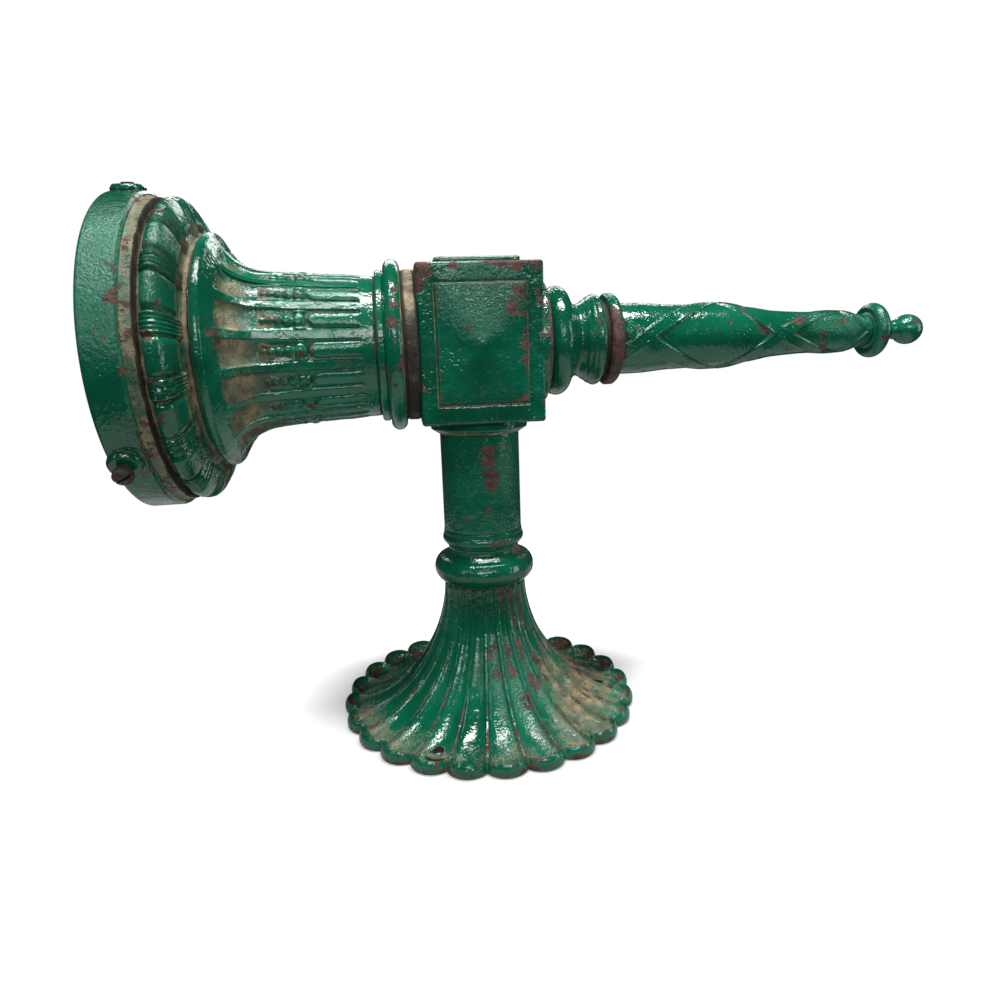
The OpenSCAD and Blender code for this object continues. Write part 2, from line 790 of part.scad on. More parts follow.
module finial_disc() {
    half = finial_disc_w / 2;
    profile = concat(
        [[stud_r + fit_gap, 0], [spire_tip_r + 0.6, 0]],
        arc(finial_disc_r - half * 0.8, half, half * 0.8, -70, 70, 8),
        [[7.5, finial_disc_w], [stud_r + fit_gap, finial_disc_w]]
    );
    color(green) spire_side() translate([0, 0, finial_s]) rotate_extrude() polygon(profile);
}

// Ball finial on a slim neck, with the stud that holds the disc to the spire
module finial_ball() {
    neck_s = finial_s + finial_disc_w;
    neck_len = ball_s - neck_s;
    profile = concat(
        [[0, 0], [7.2, 0], [5.9, neck_len * 0.22], [5.6, neck_len * 0.42]],
        arc(0, neck_len, ball_r, -52, 90, 14)
    );
    color(green) spire_side() {
        translate([0, 0, neck_s]) rotate_extrude() polygon(profile);
        translate([0, 0, finial_s - stud_depth]) cylinder(r = stud_r, h = stud_depth + finial_disc_w + 1);
    }
}

wall_flange();
flange_locknut();
stem_pipe();
stem_collar();
stem_sleeve();
stem_top_ring();
junction_block();
block_locknut();
block_cover();
cover_screws();
arm_nipple();
nipple_inner_locknut();
nipple_outer_locknut();
neck_collar();
fluted_bell();
gadroon_ring();
globe_fitter();
fitter_screws();
globe_set_screw();
globe_screw_front();
globe_screw_back();
reducing_bushing();
lampholder_stem();
lampholder_cap();
lampholder_body();
lampholder_shell();
lampholder_contact();
tie_rod();
tie_rod_washer();
tie_rod_nut();
spool();
spire_washer();
spire();
finial_disc();
finial_ball();
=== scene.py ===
import json
import math

import bpy
import numpy as np
from mathutils import Matrix, Vector

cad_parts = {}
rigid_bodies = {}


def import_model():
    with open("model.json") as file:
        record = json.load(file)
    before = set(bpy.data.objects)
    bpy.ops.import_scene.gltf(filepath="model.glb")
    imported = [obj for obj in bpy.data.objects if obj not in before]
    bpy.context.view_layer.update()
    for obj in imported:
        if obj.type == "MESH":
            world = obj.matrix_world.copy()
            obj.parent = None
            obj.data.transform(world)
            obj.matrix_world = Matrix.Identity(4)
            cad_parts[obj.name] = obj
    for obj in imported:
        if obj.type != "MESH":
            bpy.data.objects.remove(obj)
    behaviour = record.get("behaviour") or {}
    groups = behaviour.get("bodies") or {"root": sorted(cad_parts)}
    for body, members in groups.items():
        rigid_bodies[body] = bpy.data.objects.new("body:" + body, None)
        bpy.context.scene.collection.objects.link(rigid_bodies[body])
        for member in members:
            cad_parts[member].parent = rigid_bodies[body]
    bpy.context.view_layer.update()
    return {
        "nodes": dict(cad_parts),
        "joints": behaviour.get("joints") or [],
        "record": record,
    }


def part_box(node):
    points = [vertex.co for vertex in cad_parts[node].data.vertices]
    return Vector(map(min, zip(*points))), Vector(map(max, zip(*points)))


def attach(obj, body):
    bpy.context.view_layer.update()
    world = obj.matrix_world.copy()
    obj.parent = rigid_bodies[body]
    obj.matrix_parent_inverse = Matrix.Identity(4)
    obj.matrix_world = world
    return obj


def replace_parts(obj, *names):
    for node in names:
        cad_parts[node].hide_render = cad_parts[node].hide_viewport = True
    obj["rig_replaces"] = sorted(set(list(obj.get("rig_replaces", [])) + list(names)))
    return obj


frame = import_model()
scene = bpy.context.scene
MM = 0.001
TAU = 2 * math.pi
COARSE = 1


# ---- Places, in millimetres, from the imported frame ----


def low(node, axis):
    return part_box(node)[0][axis] / MM


def high(node, axis):
    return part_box(node)[1][axis] / MM


ARM = (low("fluted_bell", 2) + high("fluted_bell", 2)) / 2
BLOCK_Z0 = low("junction_block", 2)
BLOCK_Z1 = high("junction_block", 2)
BLOCK_HALF = -low("junction_block", 0)
NECK_S0 = -high("neck_collar", 0)
BELL_S0 = -high("fluted_bell", 0)
BELL_S1 = -low("fluted_bell", 0)
GAD_S1 = -low("gadroon_ring", 0)
RIM_S = GAD_S1 + 24.0
BOSS_S = low("spool", 0)
WASHER_S = low("spire_washer", 0)
SPIRE_S0 = low("spire", 0)
SPIRE_S1 = high("spire", 0)
FLANGE_H = high("wall_flange", 2)
SLEEVE_Z0 = low("stem_sleeve", 2)
SLEEVE_Z1 = high("stem_sleeve", 2)


# ---- Camera and lights ----


def make_camera():
    yaw, pitch, roll = (math.radians(a) for a in (7.288, 12.892, -1.858))
    ahead = Vector((math.sin(yaw) * math.cos(pitch), math.cos(yaw) * math.cos(pitch), -math.sin(pitch)))
    right = Vector((math.cos(yaw), -math.sin(yaw), 0))
    up = right.cross(ahead)
    across = math.cos(roll) * right + math.sin(roll) * up
    upright = -math.sin(roll) * right + math.cos(roll) * up
    matrix = Matrix((across, upright, -ahead)).transposed().to_4x4()
    matrix.translation = Vector((-0.04463, -0.43842, 0.23489))
    data = bpy.data.cameras.new("camera")
    data.sensor_width = 36.0
    data.lens = 36.0 * 0.72254
    data.clip_start = 0.02
    data.clip_end = 50
    camera = bpy.data.objects.new("camera", data)
    camera.matrix_world = matrix
    scene.collection.objects.link(camera)
    scene.camera = camera


def area_light(name, place, target, size, power, size_y):
    data = bpy.data.lights.new(name, "AREA")
    data.energy = power
    data.shape = "RECTANGLE"
    data.size = size
    data.size_y = size_y
    light = bpy.data.objects.new(name, data)
    light.location = place
    light.rotation_euler = (Vector(target) - Vector(place)).to_track_quat("-Z", "Y").to_euler()
    scene.collection.objects.link(light)


def make_world():
    """White behind the object for the camera, and a dim room round it for everything else."""
    world = bpy.data.worlds.new("studio")
    scene.world = world
    world.use_nodes = True
    nodes, links = world.node_tree.nodes, world.node_tree.links
    room = nodes["Background"]
    room.inputs[0].default_value = (0.95, 1.0, 0.98, 1)
    room.inputs[1].default_value = 0.040
    white = nodes.new("ShaderNodeBackground")
    white.inputs[0].default_value = (1.0, 1.0, 1.0, 1)
    white.inputs[1].default_value = 1.0
    either = nodes.new("ShaderNodeMixShader")
    links.new(nodes.new("ShaderNodeLightPath").outputs["Is Camera Ray"], either.inputs[0])
    links.new(room.outputs[0], either.inputs[1])
    links.new(white.outputs[0], either.inputs[2])
    links.new(either.outputs[0], nodes["World Output"].inputs[0])


def make_lights():
    area_light("front_softbox", (-0.05, -1.75, 0.93), (0, 0, 0.22), 1.2, 13, 0.34)
    area_light("overhead_softbox", (0.02, -0.22, 1.55), (0, 0, 0.1), 1.15, 36, 0.24)
    area_light("left_strip", (-1.35, -0.85, 0.85), (-0.1, 0, 0.22), 0.16, 2.6, 0.7)
    area_light("right_strip", (1.35, -0.45, 0.45), (0, 0, 0.18), 0.20, 3.4, 0.8)
    area_light("back_strip", (0.1, 1.3, 0.95), (0, 0, 0.2), 1.2, 5, 0.2)
    scene.view_settings.view_transform = "Standard"


make_camera()
make_world()
make_lights()


# ---- Materials ----


class Tree:
    """A short way to write a material's nodes."""

    def __init__(self, name):
        self.material = bpy.data.materials.new(name)
        self.material.use_nodes = True
        self.nodes = self.material.node_tree.nodes
        self.links = self.material.node_tree.links
        self.shader = self.nodes["Principled BSDF"]
        self.place = self.add("ShaderNodeTexCoord").outputs["Object"]

    def add(self, kind, **settings):
        node = self.nodes.new(kind)
        for key, value in settings.items():
            setattr(node, key, value)
        return node

    def feed(self, socket, value):
        if isinstance(value, bpy.types.NodeSocket):
            self.links.new(value, socket)
        elif isinstance(value, tuple):
            socket.default_value = (*value, 1.0) if len(value) == 3 else value
        else:
            socket.default_value = value

    def feed_all(self, node, **sockets):
        for name, value in sockets.items():
            self.feed(node.inputs[name.replace("_", " ")], value)
        return node

    def noise(self, scale, detail=3.0, rough=0.5, distortion=0.0):
        node = self.add("ShaderNodeTexNoise")
        self.feed_all(node, Vector=self.place, Scale=scale, Detail=detail)
        return self.feed_all(node, Roughness=rough, Distortion=distortion).outputs["Fac"]

    def cells(self, scale):
        node = self.add("ShaderNodeTexVoronoi")
        return self.feed_all(node, Vector=self.place, Scale=scale).outputs["Distance"]

    def attribute(self, name):
        return self.add("ShaderNodeAttribute", attribute_name=name).outputs["Fac"]

    def math(self, operation, a, b, clamp=False):
        node = self.add("ShaderNodeMath", operation=operation, use_clamp=clamp)
        self.feed(node.inputs[0], a)
        self.feed(node.inputs[1], b)
        return node.outputs[0]

    def plus(self, a, b, clamp=False):
        return self.math("ADD", a, b, clamp)

    def minus(self, a, b):
        return self.math("SUBTRACT", a, b)

    def times(self, a, b):
        return self.math("MULTIPLY", a, b)

    def step(self, value, start, end, low=0.0, high=1.0):
        node = self.add("ShaderNodeMapRange", interpolation_type="SMOOTHSTEP")
        self.feed_all(node, Value=value, From_Min=start, From_Max=end, To_Min=low, To_Max=high)
        return node.outputs["Result"]

    def mix(self, share, a, b):
        node = self.add("ShaderNodeMix", data_type="RGBA")
        self.feed(node.inputs[0], share)
        self.feed(node.inputs[6], a)
        self.feed(node.inputs[7], b)
        return node.outputs[2]

    def bump(self, height, distance, strength):
        node = self.add("ShaderNodeBump")
        self.feed_all(node, Height=height, Strength=strength, Distance=distance)
        return node.outputs["Normal"]

    def set(self, **sockets):
        self.feed_all(self.shader, **sockets)
        return self.material


def enamel_material(name):
    """Old glossy enamel on cast iron: chipped to rust where worn, dusty where dirt stays, and near black
    with grime and painted shade in the deepest gaps.
    """
    t = Tree(name)
    wear, dirt, pitted = (t.attribute(kind) for kind in ("wear", "dirt", "pitted"))
    broad = t.noise(16, 4, 0.6)
    patch = t.noise(85, 8, 0.66, 0.4)
    ragged = t.noise(300, 6, 0.65)
    grain = t.noise(1100, 3, 0.6)
    dusting = t.noise(55, 8, 0.7, 0.5)
    # chips: ragged islands whose share of the surface follows the wear
    chance = t.plus(t.times(patch, 0.95), t.times(ragged, 0.45))
    chance = t.plus(chance, t.times(wear, 0.42))
    chip = t.step(chance, 0.925, 0.950)
    rim = t.step(chance, 0.885, 0.935)
    # dust settles in soft patches with a grainy edge, and near-black grime and painted shade lie in the
    # deepest gaps
    amount = t.plus(dirt, t.times(t.minus(dusting, 0.5), 1.9))
    amount = t.plus(amount, t.times(t.minus(grain, 0.5), 0.9))
    dusty = t.step(amount, 0.30, 1.00, 0.0, 0.90)
    grime_and_gap_shade = t.step(t.plus(dirt, t.times(t.minus(patch, 0.5), 1.0)), 1.02, 1.30)
    green = t.mix(t.step(broad, 0.32, 0.68), (0.0003, 0.064, 0.030), (0.0008, 0.124, 0.066))
    green = t.mix(t.step(ragged, 0.52, 0.70, 0.0, 0.35), green, (0.006, 0.055, 0.036))
    edge = t.times(t.times(rim, t.minus(1.0, chip)), 0.6)
    green = t.mix(edge, green, (0.030, 0.042, 0.030))
    tan = t.mix(t.step(t.noise(150, 6, 0.7), 0.34, 0.66), (0.085, 0.058, 0.030), (0.40, 0.30, 0.17))
    tan = t.mix(t.step(ragged, 0.48, 0.62, 0.0, 0.8), tan, (0.030, 0.021, 0.012))
    rust = t.mix(t.step(t.noise(210, 6, 0.7), 0.36, 0.64), (0.020, 0.011, 0.009), (0.118, 0.043, 0.028))
    rust = t.mix(t.step(grain, 0.56, 0.74, 0.0, 0.45), rust, (0.15, 0.082, 0.052))
    colour = t.mix(dusty, green, tan)
    colour = t.mix(chip, colour, rust)
    # near black where the dirt value runs highest: grime, and painted shade in seams, holes and recesses
    colour = t.mix(t.times(grime_and_gap_shade, 0.93), colour, (0.010, 0.007, 0.005))
    rough = t.plus(t.step(broad, 0.25, 0.75, 0.11, 0.22), t.times(dusty, 0.62))
    rough = t.plus(rough, t.times(pitted, 0.05))
    rough = t.math("MAXIMUM", rough, t.times(chip, 0.72))
    rough = t.math("MAXIMUM", rough, t.times(grime_and_gap_shade, 0.85), clamp=True)
    # surface: orange peel, casting pits, and the step down at the edge of a chip
    pits = t.times(t.step(t.cells(520), 0.0, 0.5), t.step(t.noise(60, 3), 0.40, 0.62))
    coat = t.plus(t.times(t.noise(360, 3, 0.5), 0.50), t.times(pits, 0.30))
    coat = t.plus(coat, t.times(t.noise(130, 3, 0.5), 0.8))
    hammered = t.times(t.noise(560, 5, 0.65, 0.3), t.times(pitted, 2.1))
    coat = t.plus(coat, hammered)
    coat = t.minus(coat, t.times(chip, 0.6))
    coat = t.plus(coat, t.times(t.times(grain, 0.7), t.plus(chip, dusty)))
    skin = t.bump(coat, 0.00062, 0.9)
    return t.set(Base_Color=colour, Roughness=rough, Normal=skin, Specular_IOR_Level=0.55)


def rust_material(name, green_share):
    """Bare cast iron gone brown, with scraps of the enamel left on it."""
    t = Tree(name)
    patch = t.noise(90, 6, 0.62)
    ragged = t.noise(260, 5, 0.6)
    grain = t.noise(1000, 3, 0.6)
    wear = t.attribute("wear")
    chance = t.minus(t.plus(patch, t.times(t.minus(ragged, 0.5), 0.4)), wear)
    paint = t.step(chance, 0.70 - green_share, 0.73 - green_share)
    rust = t.mix(t.step(t.noise(140, 5, 0.65), 0.35, 0.65), (0.014, 0.010, 0.008), (0.066, 0.034, 0.024))
    rust = t.mix(t.step(grain, 0.5, 0.75, 0.0, 0.45), rust, (0.11, 0.065, 0.045))
    colour = t.mix(paint, rust, (0.002, 0.075, 0.042))
    rough = t.minus(0.72, t.times(paint, 0.42))
    height = t.plus(t.times(ragged, 0.8), t.times(grain, 0.5))
    height = t.plus(height, t.times(paint, 0.5))
    return t.set(Base_Color=colour, Roughness=rough, Normal=t.bump(height, 0.00035, 0.8), Metallic=0.0)


def metal_material(name, bright, tarnish, share, rough):
    """Turned metal under a film of tarnish."""
    t = Tree(name)
    cloud = t.noise(60, 6, 0.62, 0.3)
    grain = t.noise(700, 3, 0.6)
    film = t.plus(cloud, t.times(t.minus(grain, 0.5), 0.25))
    film = t.step(film, share - 0.12, share + 0.12)
    colour = t.mix(film, bright, tarnish)
    roughness = t.plus(t.times(film, 0.25), t.times(grain, 0.16))
    roughness = t.plus(roughness, rough - 0.1)
    metallic = t.step(film, 0.0, 1.0, 0.95, 0.55)
    skin = t.bump(t.plus(grain, cloud), 0.00015, 0.6)
    return t.set(Base_Color=colour, Roughness=roughness, Metallic=metallic, Normal=skin)


def porcelain_material(name):
    t = Tree(name)
    soot = t.noise(55, 5, 0.6)
    speck = t.step(t.noise(520, 2), 0.70, 0.74)
    colour = t.mix(t.step(soot, 0.45, 0.8, 0.0, 0.7), (0.74, 0.72, 0.66), (0.42, 0.36, 0.27))
    colour = t.mix(speck, colour, (0.12, 0.08, 0.05))
    rough = t.step(soot, 0.4, 0.8, 0.12, 0.45)
    return t.set(Base_Color=colour, Roughness=rough, Normal=t.bump(t.noise(240, 2), 0.0001, 0.5))


MATERIALS = {
    "green_enamel": enamel_material("green_enamel"),
    "rusty_iron": rust_material("rusty_iron", 0.10),
    "dull_steel": metal_material("dull_steel", (0.34, 0.33, 0.31), (0.14, 0.085, 0.06), 0.48, 0.48),
    "dull_brass": metal_material("dull_brass", (0.52, 0.36, 0.13), (0.20, 0.13, 0.06), 0.52, 0.38),
    "porcelain": porcelain_material("porcelain"),
}


# ---- Floor ----

FLOOR_R = 0.42


def floor_material():
    """A pale sheet that glows for the camera, as an overexposed one does; the glow is dimmer close to the
    flange, a painted contact shadow.
    """
    t = Tree("pale_floor")
    away = t.add("ShaderNodeVectorMath", operation="LENGTH")
    t.feed(away.inputs[0], t.place)
    # painted contact shadow: the glow fades from 0.95 down to 0.25 towards the flange's foot
    glow_and_contact_shadow = t.add("ShaderNodeMapRange")
    t.feed_all(glow_and_contact_shadow, Value=away.outputs["Value"], From_Min=0.086, From_Max=0.13, To_Min=0.25, To_Max=0.95)
    seen = t.add("ShaderNodeLightPath").outputs["Is Camera Ray"]
    return t.set(
        Base_Color=(0.40, 0.41, 0.40),
        Roughness=0.9,
        Specular_IOR_Level=0.1,
        Emission_Color=(1.0, 1.0, 1.0),
        Emission_Strength=t.times(glow_and_contact_shadow.outputs["Result"], seen),
    )


def make_floor():
    mesh = bpy.data.meshes.new("floor")
    turns = [k * TAU / 96 for k in range(96)]
    rim = [(FLOOR_R * math.cos(a), FLOOR_R * math.sin(a), 0) for a in turns]
    mesh.from_pydata(rim, [], [tuple(range(96))])
    mesh.materials.append(floor_material())
    floor = bpy.data.objects.new("floor", mesh)
    floor.location = (0, 0, -0.0004)
    scene.collection.objects.link(floor)


make_floor()

# ---- Mesh making ----


def smooth(x, a=0.0, b=1.0):
    t = np.clip((np.asarray(x, float) - a) / (b - a), 0, 1)
    return t * t * (3 - 2 * t)


def rounded(points, step=1.0, closed=True):
    """A profile from (a, r, corner radius) points, with round corners and no long runs between points."""
    n = len(points)
    out = []
    for i in range(n):
        p = np.array(points[i][:2], float)
        radius = points[i][2] if len(points[i]) > 2 else 0
        if not closed and i in (0, n - 1):
            out.append(p)
            continue
        before = np.array(points[i - 1][:2], float) - p
        after = np.array(points[(i + 1) % n][:2], float) - p
        lb, la = np.linalg.norm(before), np.linalg.norm(after)
        before, after = before / lb, after / la
        angle = math.acos(max(-1.0, min(1.0, float(before @ after))))
        if radius <= 0 or angle > math.pi - 0.05:
            out.append(p)
            continue
        cut = min(radius / math.tan(angle / 2), 0.48 * lb, 0.48 * la)
        start, end = p + before * cut, p + after * cut
        count = max(3, int((math.pi - angle) / 0.30))
        for k in range(count + 1):
            t = k / count
            out.append((1 - t) ** 2 * start + 2 * t * (1 - t) * p + t * t * end)
    dense = []
    total = len(out)
    for i in range(total if closed else total - 1):
        p, q = out[i], out[(i + 1) % total]
        parts = max(1, int(math.ceil(np.linalg.norm(q - p) / step)))
        dense += [p + (q - p) * k / parts for k in range(parts)]
    if not closed:
        dense.append(out[-1])
    return np.array(dense)


def bead(a, r, radius, start, end, count=12):
    """Profile points on an arc round (a, r); 0 degrees is outward and 90 is along a."""
    t = np.radians(np.linspace(start, end, count + 1))
    return [(a + radius * math.sin(x), r + radius * math.cos(x), 0) for x in t]


def on_bell(a, r, t):
    return -a, -r * np.cos(t), ARM + r * np.sin(t)


def on_spire(a, r, t):
    return a, -r * np.cos(t), ARM + r * np.sin(t)


def on_stem(a, r, t):
    return r * np.cos(t), r * np.sin(t), a


def standing(base, out):
    """Places a turned shape so that it stands on base and points along out, across the arm."""
    side = np.array([1.0, 0, 0])
    other = np.cross(out, side)

    def place(a, r, t):
        return [base[k] + a * out[k] + r * (np.cos(t) * side[k] + np.sin(t) * other[k]) for k in range(3)]

    return place


def bell_places(p):
    """Distance out along the bell side and radius round the arm, for each point."""
    return -p[:, 0], np.hypot(p[:, 1], p[:, 2] - ARM)


def build(name, points, faces):
    """A mesh object from points in millimetres and quads or triangles, with its faces turned outward."""
    points = np.asarray(points, float)
    mesh = bpy.data.meshes.new(name)
    mesh.from_pydata((points * MM).tolist(), [], [list(f) for f in faces])
    mesh.update()
    piece = bpy.data.objects.new(name, mesh)
    scene.collection.objects.link(piece)
    corners = np.zeros(len(mesh.loops), np.int32)
    mesh.loops.foreach_get("vertex_index", corners)
    starts = np.zeros(len(mesh.polygons), np.int32)
    mesh.polygons.foreach_get("loop_start", starts)
    a, b, c = (points[corners[starts + k]] for k in range(3))
    normals = np.cross(b - a, c - a)
    centres = (a + b + c) / 3 - points.mean(0)
    if (centres * normals).sum() < 0:
        mesh.flip_normals()
    return piece


def ring_quads(rows, count):
    """Quads between closed rows of count points, and from the last row back to the first."""
    ii, jj = (g.ravel() for g in np.meshgrid(np.arange(rows), np.arange(count), indexing="ij"))
    i2, j2 = (ii + 1) % rows, (jj + 1) % count
    return np.stack([ii * count + jj, i2 * count + jj, i2 * count + j2, ii * count + j2], -1)


def lathe(name, profile, count, place, bend=None):
    """A turned piece. The profile is a closed loop of (a, r), or runs from axis to axis."""
    profile = np.asarray(profile, float)
    poles = profile[0, 1] < 1e-6
    n = len(profile)
    t = np.arange(count) * TAU / count
    a = np.repeat(profile[:, :1], count, 1)
    r = np.repeat(profile[:, 1:], count, 1)
    angle = np.repeat(t[None, :], n, 0)
    if bend is not None:
        a, r = bend(a, r, angle)
    x, y, z = place(a, r, angle)
    points = np.stack(np.broadcast_arrays(x, y, z), -1).reshape(-1, 3)
    if not poles:
        return build(name, points, ring_quads(n, count).tolist())
    # each end row is one point, so the rows between them move up to start at index 1
    quads = (ring_quads(n - 2, count)[: (n - 3) * count] + 1).tolist()
    last = 1 + (n - 2) * count
    ring = last - count
    fans = [(0, 1 + k, 1 + (k + 1) % count) for k in range(count)]
    fans += [(last, ring + (k + 1) % count, ring + k) for k in range(count)]
    points = np.concatenate([points[:1], points[count:-count], points[-1:]])
    return build(name, points, quads + fans)


def lattice_box(name, xs, ys, zs, shape):
    """A box skin on the grid lines xs, ys and zs. shape moves its points."""
    grid = (xs, ys, zs)
    index, points, faces = {}, [], []

    def point(at):
        if at not in index:
            index[at] = len(points)
            points.append([grid[k][at[k]] for k in range(3)])
        return index[at]

    def face(flat, end, i, j):
        corners = ((i, j), (i + 1, j), (i + 1, j + 1), (i, j + 1))
        return [point((*c[:flat], end, *c[flat:])) for c in corners]

    for flat in range(3):
        across, up = (len(grid[k]) - 1 for k in range(3) if k != flat)
        for end, turn in ((0, -1), (len(grid[flat]) - 1, 1)):
            turn = -turn if flat == 1 else turn
            faces += [face(flat, end, i, j)[::turn] for i in range(across) for j in range(up)]
    return build(name, shape(np.array(points, float)), faces)


def drop(piece):
    mesh = piece.data
    bpy.data.objects.remove(piece)
    bpy.data.meshes.remove(mesh)


def combine(piece, tool, operation):
    """Joins tool to the piece, or cuts it out, and leaves one clean skin."""
    modifier = piece.modifiers.new("combine", "BOOLEAN")
    modifier.operation = operation
    modifier.solver = "MANIFOLD"
    modifier.object = tool
    bpy.context.view_layer.update()
    graph = bpy.context.evaluated_depsgraph_get()
    made = bpy.data.meshes.new_from_object(piece.evaluated_get(graph))
    piece.modifiers.remove(modifier)
    old = piece.data
    piece.data = made
    made.name = piece.name
    bpy.data.meshes.remove(old)
    drop(tool)


def rod(name, start, end, radius, count=40):
    """A plain round cutter from start to end, in millimetres."""
    start, end = np.array(start, float), np.array(end, float)
    along = (end - start) / np.linalg.norm(end - start)
    side = np.cross(along, (0.3, 0.5, 0.81))
    side /= np.linalg.norm(side)
    other = np.cross(along, side)
    t = np.arange(count) * TAU / count
    ring = radius * (np.cos(t)[:, None] * side + np.sin(t)[:, None] * other)
    points = np.concatenate([start + ring, end + ring])
    faces = [(k, (k + 1) % count, count + (k + 1) % count, count + k) for k in range(count)]
    faces += [tuple(range(count))[::-1], tuple(range(count, 2 * count))]
    return build(name, points, faces)


def brick(name, lo, hi):
    xs, ys, zs = ((lo[k], hi[k]) for k in range(3))
    return lattice_box(name, xs, ys, zs, lambda p: p)


# Spots where the enamel is gone, and spots that hold dirt: (x, y, z, radius, amount)
RUST_SPOTS = [
    (30, -35, 273, 9, 1.0), (20, -35, 274, 8, 1.0), (8, -35, 274, 6, 0.9), (-33, -35, 270, 8, 1.0),
    (-34, -35, 262, 6, 0.8), (-13, -36, 273, 5, 0.9), (21, -38, 257, 5.5, 1.1), (17, -39, 249, 5, 1.1),
    (9, -38, 262, 3.5, 0.9), (-6, -41, 240, 5, 0.8), (0, -42, 235, 5, 0.9), (7, -41, 237, 3.5, 0.7),
    (24, -38, 229, 4.5, 0.9), (24, -38, 221, 4.5, 0.8), (35, -35, 255, 9, 0.7), (35, -35, 236, 8, 0.8),
    (35, -35, 200, 6, 0.6), (-35, -35, 205, 6, 0.5), (35, -30, 190, 7, 0.6), (25, -37, 236, 4.5, 1.05),
    (24, -37, 246, 4, 1.0), (2, -24, 169, 6, 1.1), (2, -24, 162, 6, 1.15), (3, -24, 155, 6, 1.15),
    (4, -24, 148, 5.5, 1.1), (2, -24, 134, 3, 1.0), (15, -18, 132, 5, 0.6), (-12, -20, 128, 4, 0.5),
    (-47, -38, 261, 6, 0.8), (-47, -43, 252, 5, 0.9), (-47, -46, 243, 5, 0.9), (-46, -48, 232, 5, 0.8),
    (-45, -47, 222, 7, 0.9), (-51, -43, 221, 6, 0.8), (-45, -44, 212, 5, 0.6), (-159, -81, 241, 5, 0.75),
    (-160, -77, 202, 6, 0.8), (-157, -66, 278, 5, 0.6), (-155, -40, 300, 6, 0.6),
    (-172, -84, 240, 8, 0.7), (-172, -82, 258, 7, 0.6), (-172, -70, 276, 7, 0.4),
    (-187, -60, 288, 7, 0.4), (-143, -62, 262, 6, 0.6), (-138, -54, 238, 6, 0.5), (-37, -64, 8, 7, 1.0),
    (-35, -60, 10, 7, 1.0), (-32, -54, 15, 6, 0.9), (-28, -48, 22, 5, 0.6), (74, 0, 8, 8, 0.9),
    (0, -35, 44, 7, 0.6), (9, -30, 58, 6, 0.7), (-4, -28, 66, 5, 0.6), (20, -45, 26, 7, 0.7),
    (28, -40, 24, 6, 0.7), (8, -52, 20, 6, 0.7), (10, -62, 14, 5, 0.6), (22, -30, 50, 5, 0.6),
    (0, -94, 3, 8, 0.5), (24, -90, 4, 9, 0.6), (45, -80, 4, 9, 0.7), (-22, -90, 4, 8, 0.6),
    (-45, -80, 4, 9, 0.7), (62, -70, 5, 9, 0.7), (-66, -66, 5, 8, 0.6), (28, -12, 92, 8, 0.7),
    (20, -24, 96, 6, 0.5), (24, -10, 112, 5, 0.6), (-24, -16, 90, 5, 0.5), (73, -24, 238, 7, 0.8),
    (74, -20, 220, 8, 0.8), (73, -10, 255, 6, 0.6), (150, -18, 238, 7, 0.7), (172, -15, 232, 6, 0.7),
    (160, -12, 246, 5, 0.6), (200, -11, 236, 8, 0.8), (214, -11, 228, 7, 0.8), (228, -10, 236, 7, 0.7),
    (120, -18, 224, 5, 0.5), (190, -8, 220, 5, 0.6), (253, -16, 226, 7, 0.8), (254, -14, 240, 6, 0.7),
    (280, -8, 236, 5, 0.5),
]
DIRT_SPOTS = [
    (-128, -44, 218, 16, 0.8), (-131, -42, 206, 16, 0.9), (-130, -48, 232, 14, 0.6),
    (-126, -34, 250, 12, 0.5), (-132, -34, 196, 14, 0.8), (-128, -44, 242, 10, 0.6),
    (-150, -66, 205, 14, 0.5), (-150, -52, 186, 16, 0.6), (60, -20, 12, 26, 0.9), (48, -36, 14, 20, 0.8),
    (66, 6, 10, 20, 0.9), (38, -22, 26, 16, 0.8), (34, -12, 36, 12, 0.8), (30, -6, 50, 10, 0.6),
    (52, 20, 14, 24, 0.6), (40, -62, 8, 14, 0.4), (-50, -56, 8, 14, 0.5), (-66, -40, 7, 16, 0.5),
    (-30, -70, 7, 12, 0.5), (-62, 20, 12, 24, 0.4), (22, -12, 103, 9, 0.9), (24, 2, 104, 10, 0.8),
    (-40, -30, 262, 12, 0.5),
]


# Spots where the casting under the enamel is pitted
PIT_SPOTS = [
    (0, -40, 252, 17, 1.0), (-14, -39, 256, 11, 0.9), (14, -39, 256, 11, 0.9), (0, -38, 259, 14, 0.9),
    (-177, -72, 272, 26, 0.8), (-177, -50, 298, 26, 0.7), (-177, -84, 244, 20, 0.5),
    (-160, -60, 285, 22, 0.5), (12, -34, 42, 14, 0.7), (14, -44, 24, 16, 0.7), (-2, -38, 34, 12, 0.5),
    (240, -10, 236, 14, 0.7), (218, -11, 238, 14, 0.5), (-90, -30, 262, 22, 0.4), (14, -20, 160, 18, 0.4),
    (66, -18, 14, 22, 0.6),
]


def spots(points, listed, strength=1.0):
    total = np.zeros(len(points))
    for x, y, z, radius, amount in listed:
        near = np.linalg.norm(points - (x, y, z), axis=1) / radius
        total = np.maximum(total, amount * strength * np.clip(1.2 - 0.8 * near, 0, 1))
    return total


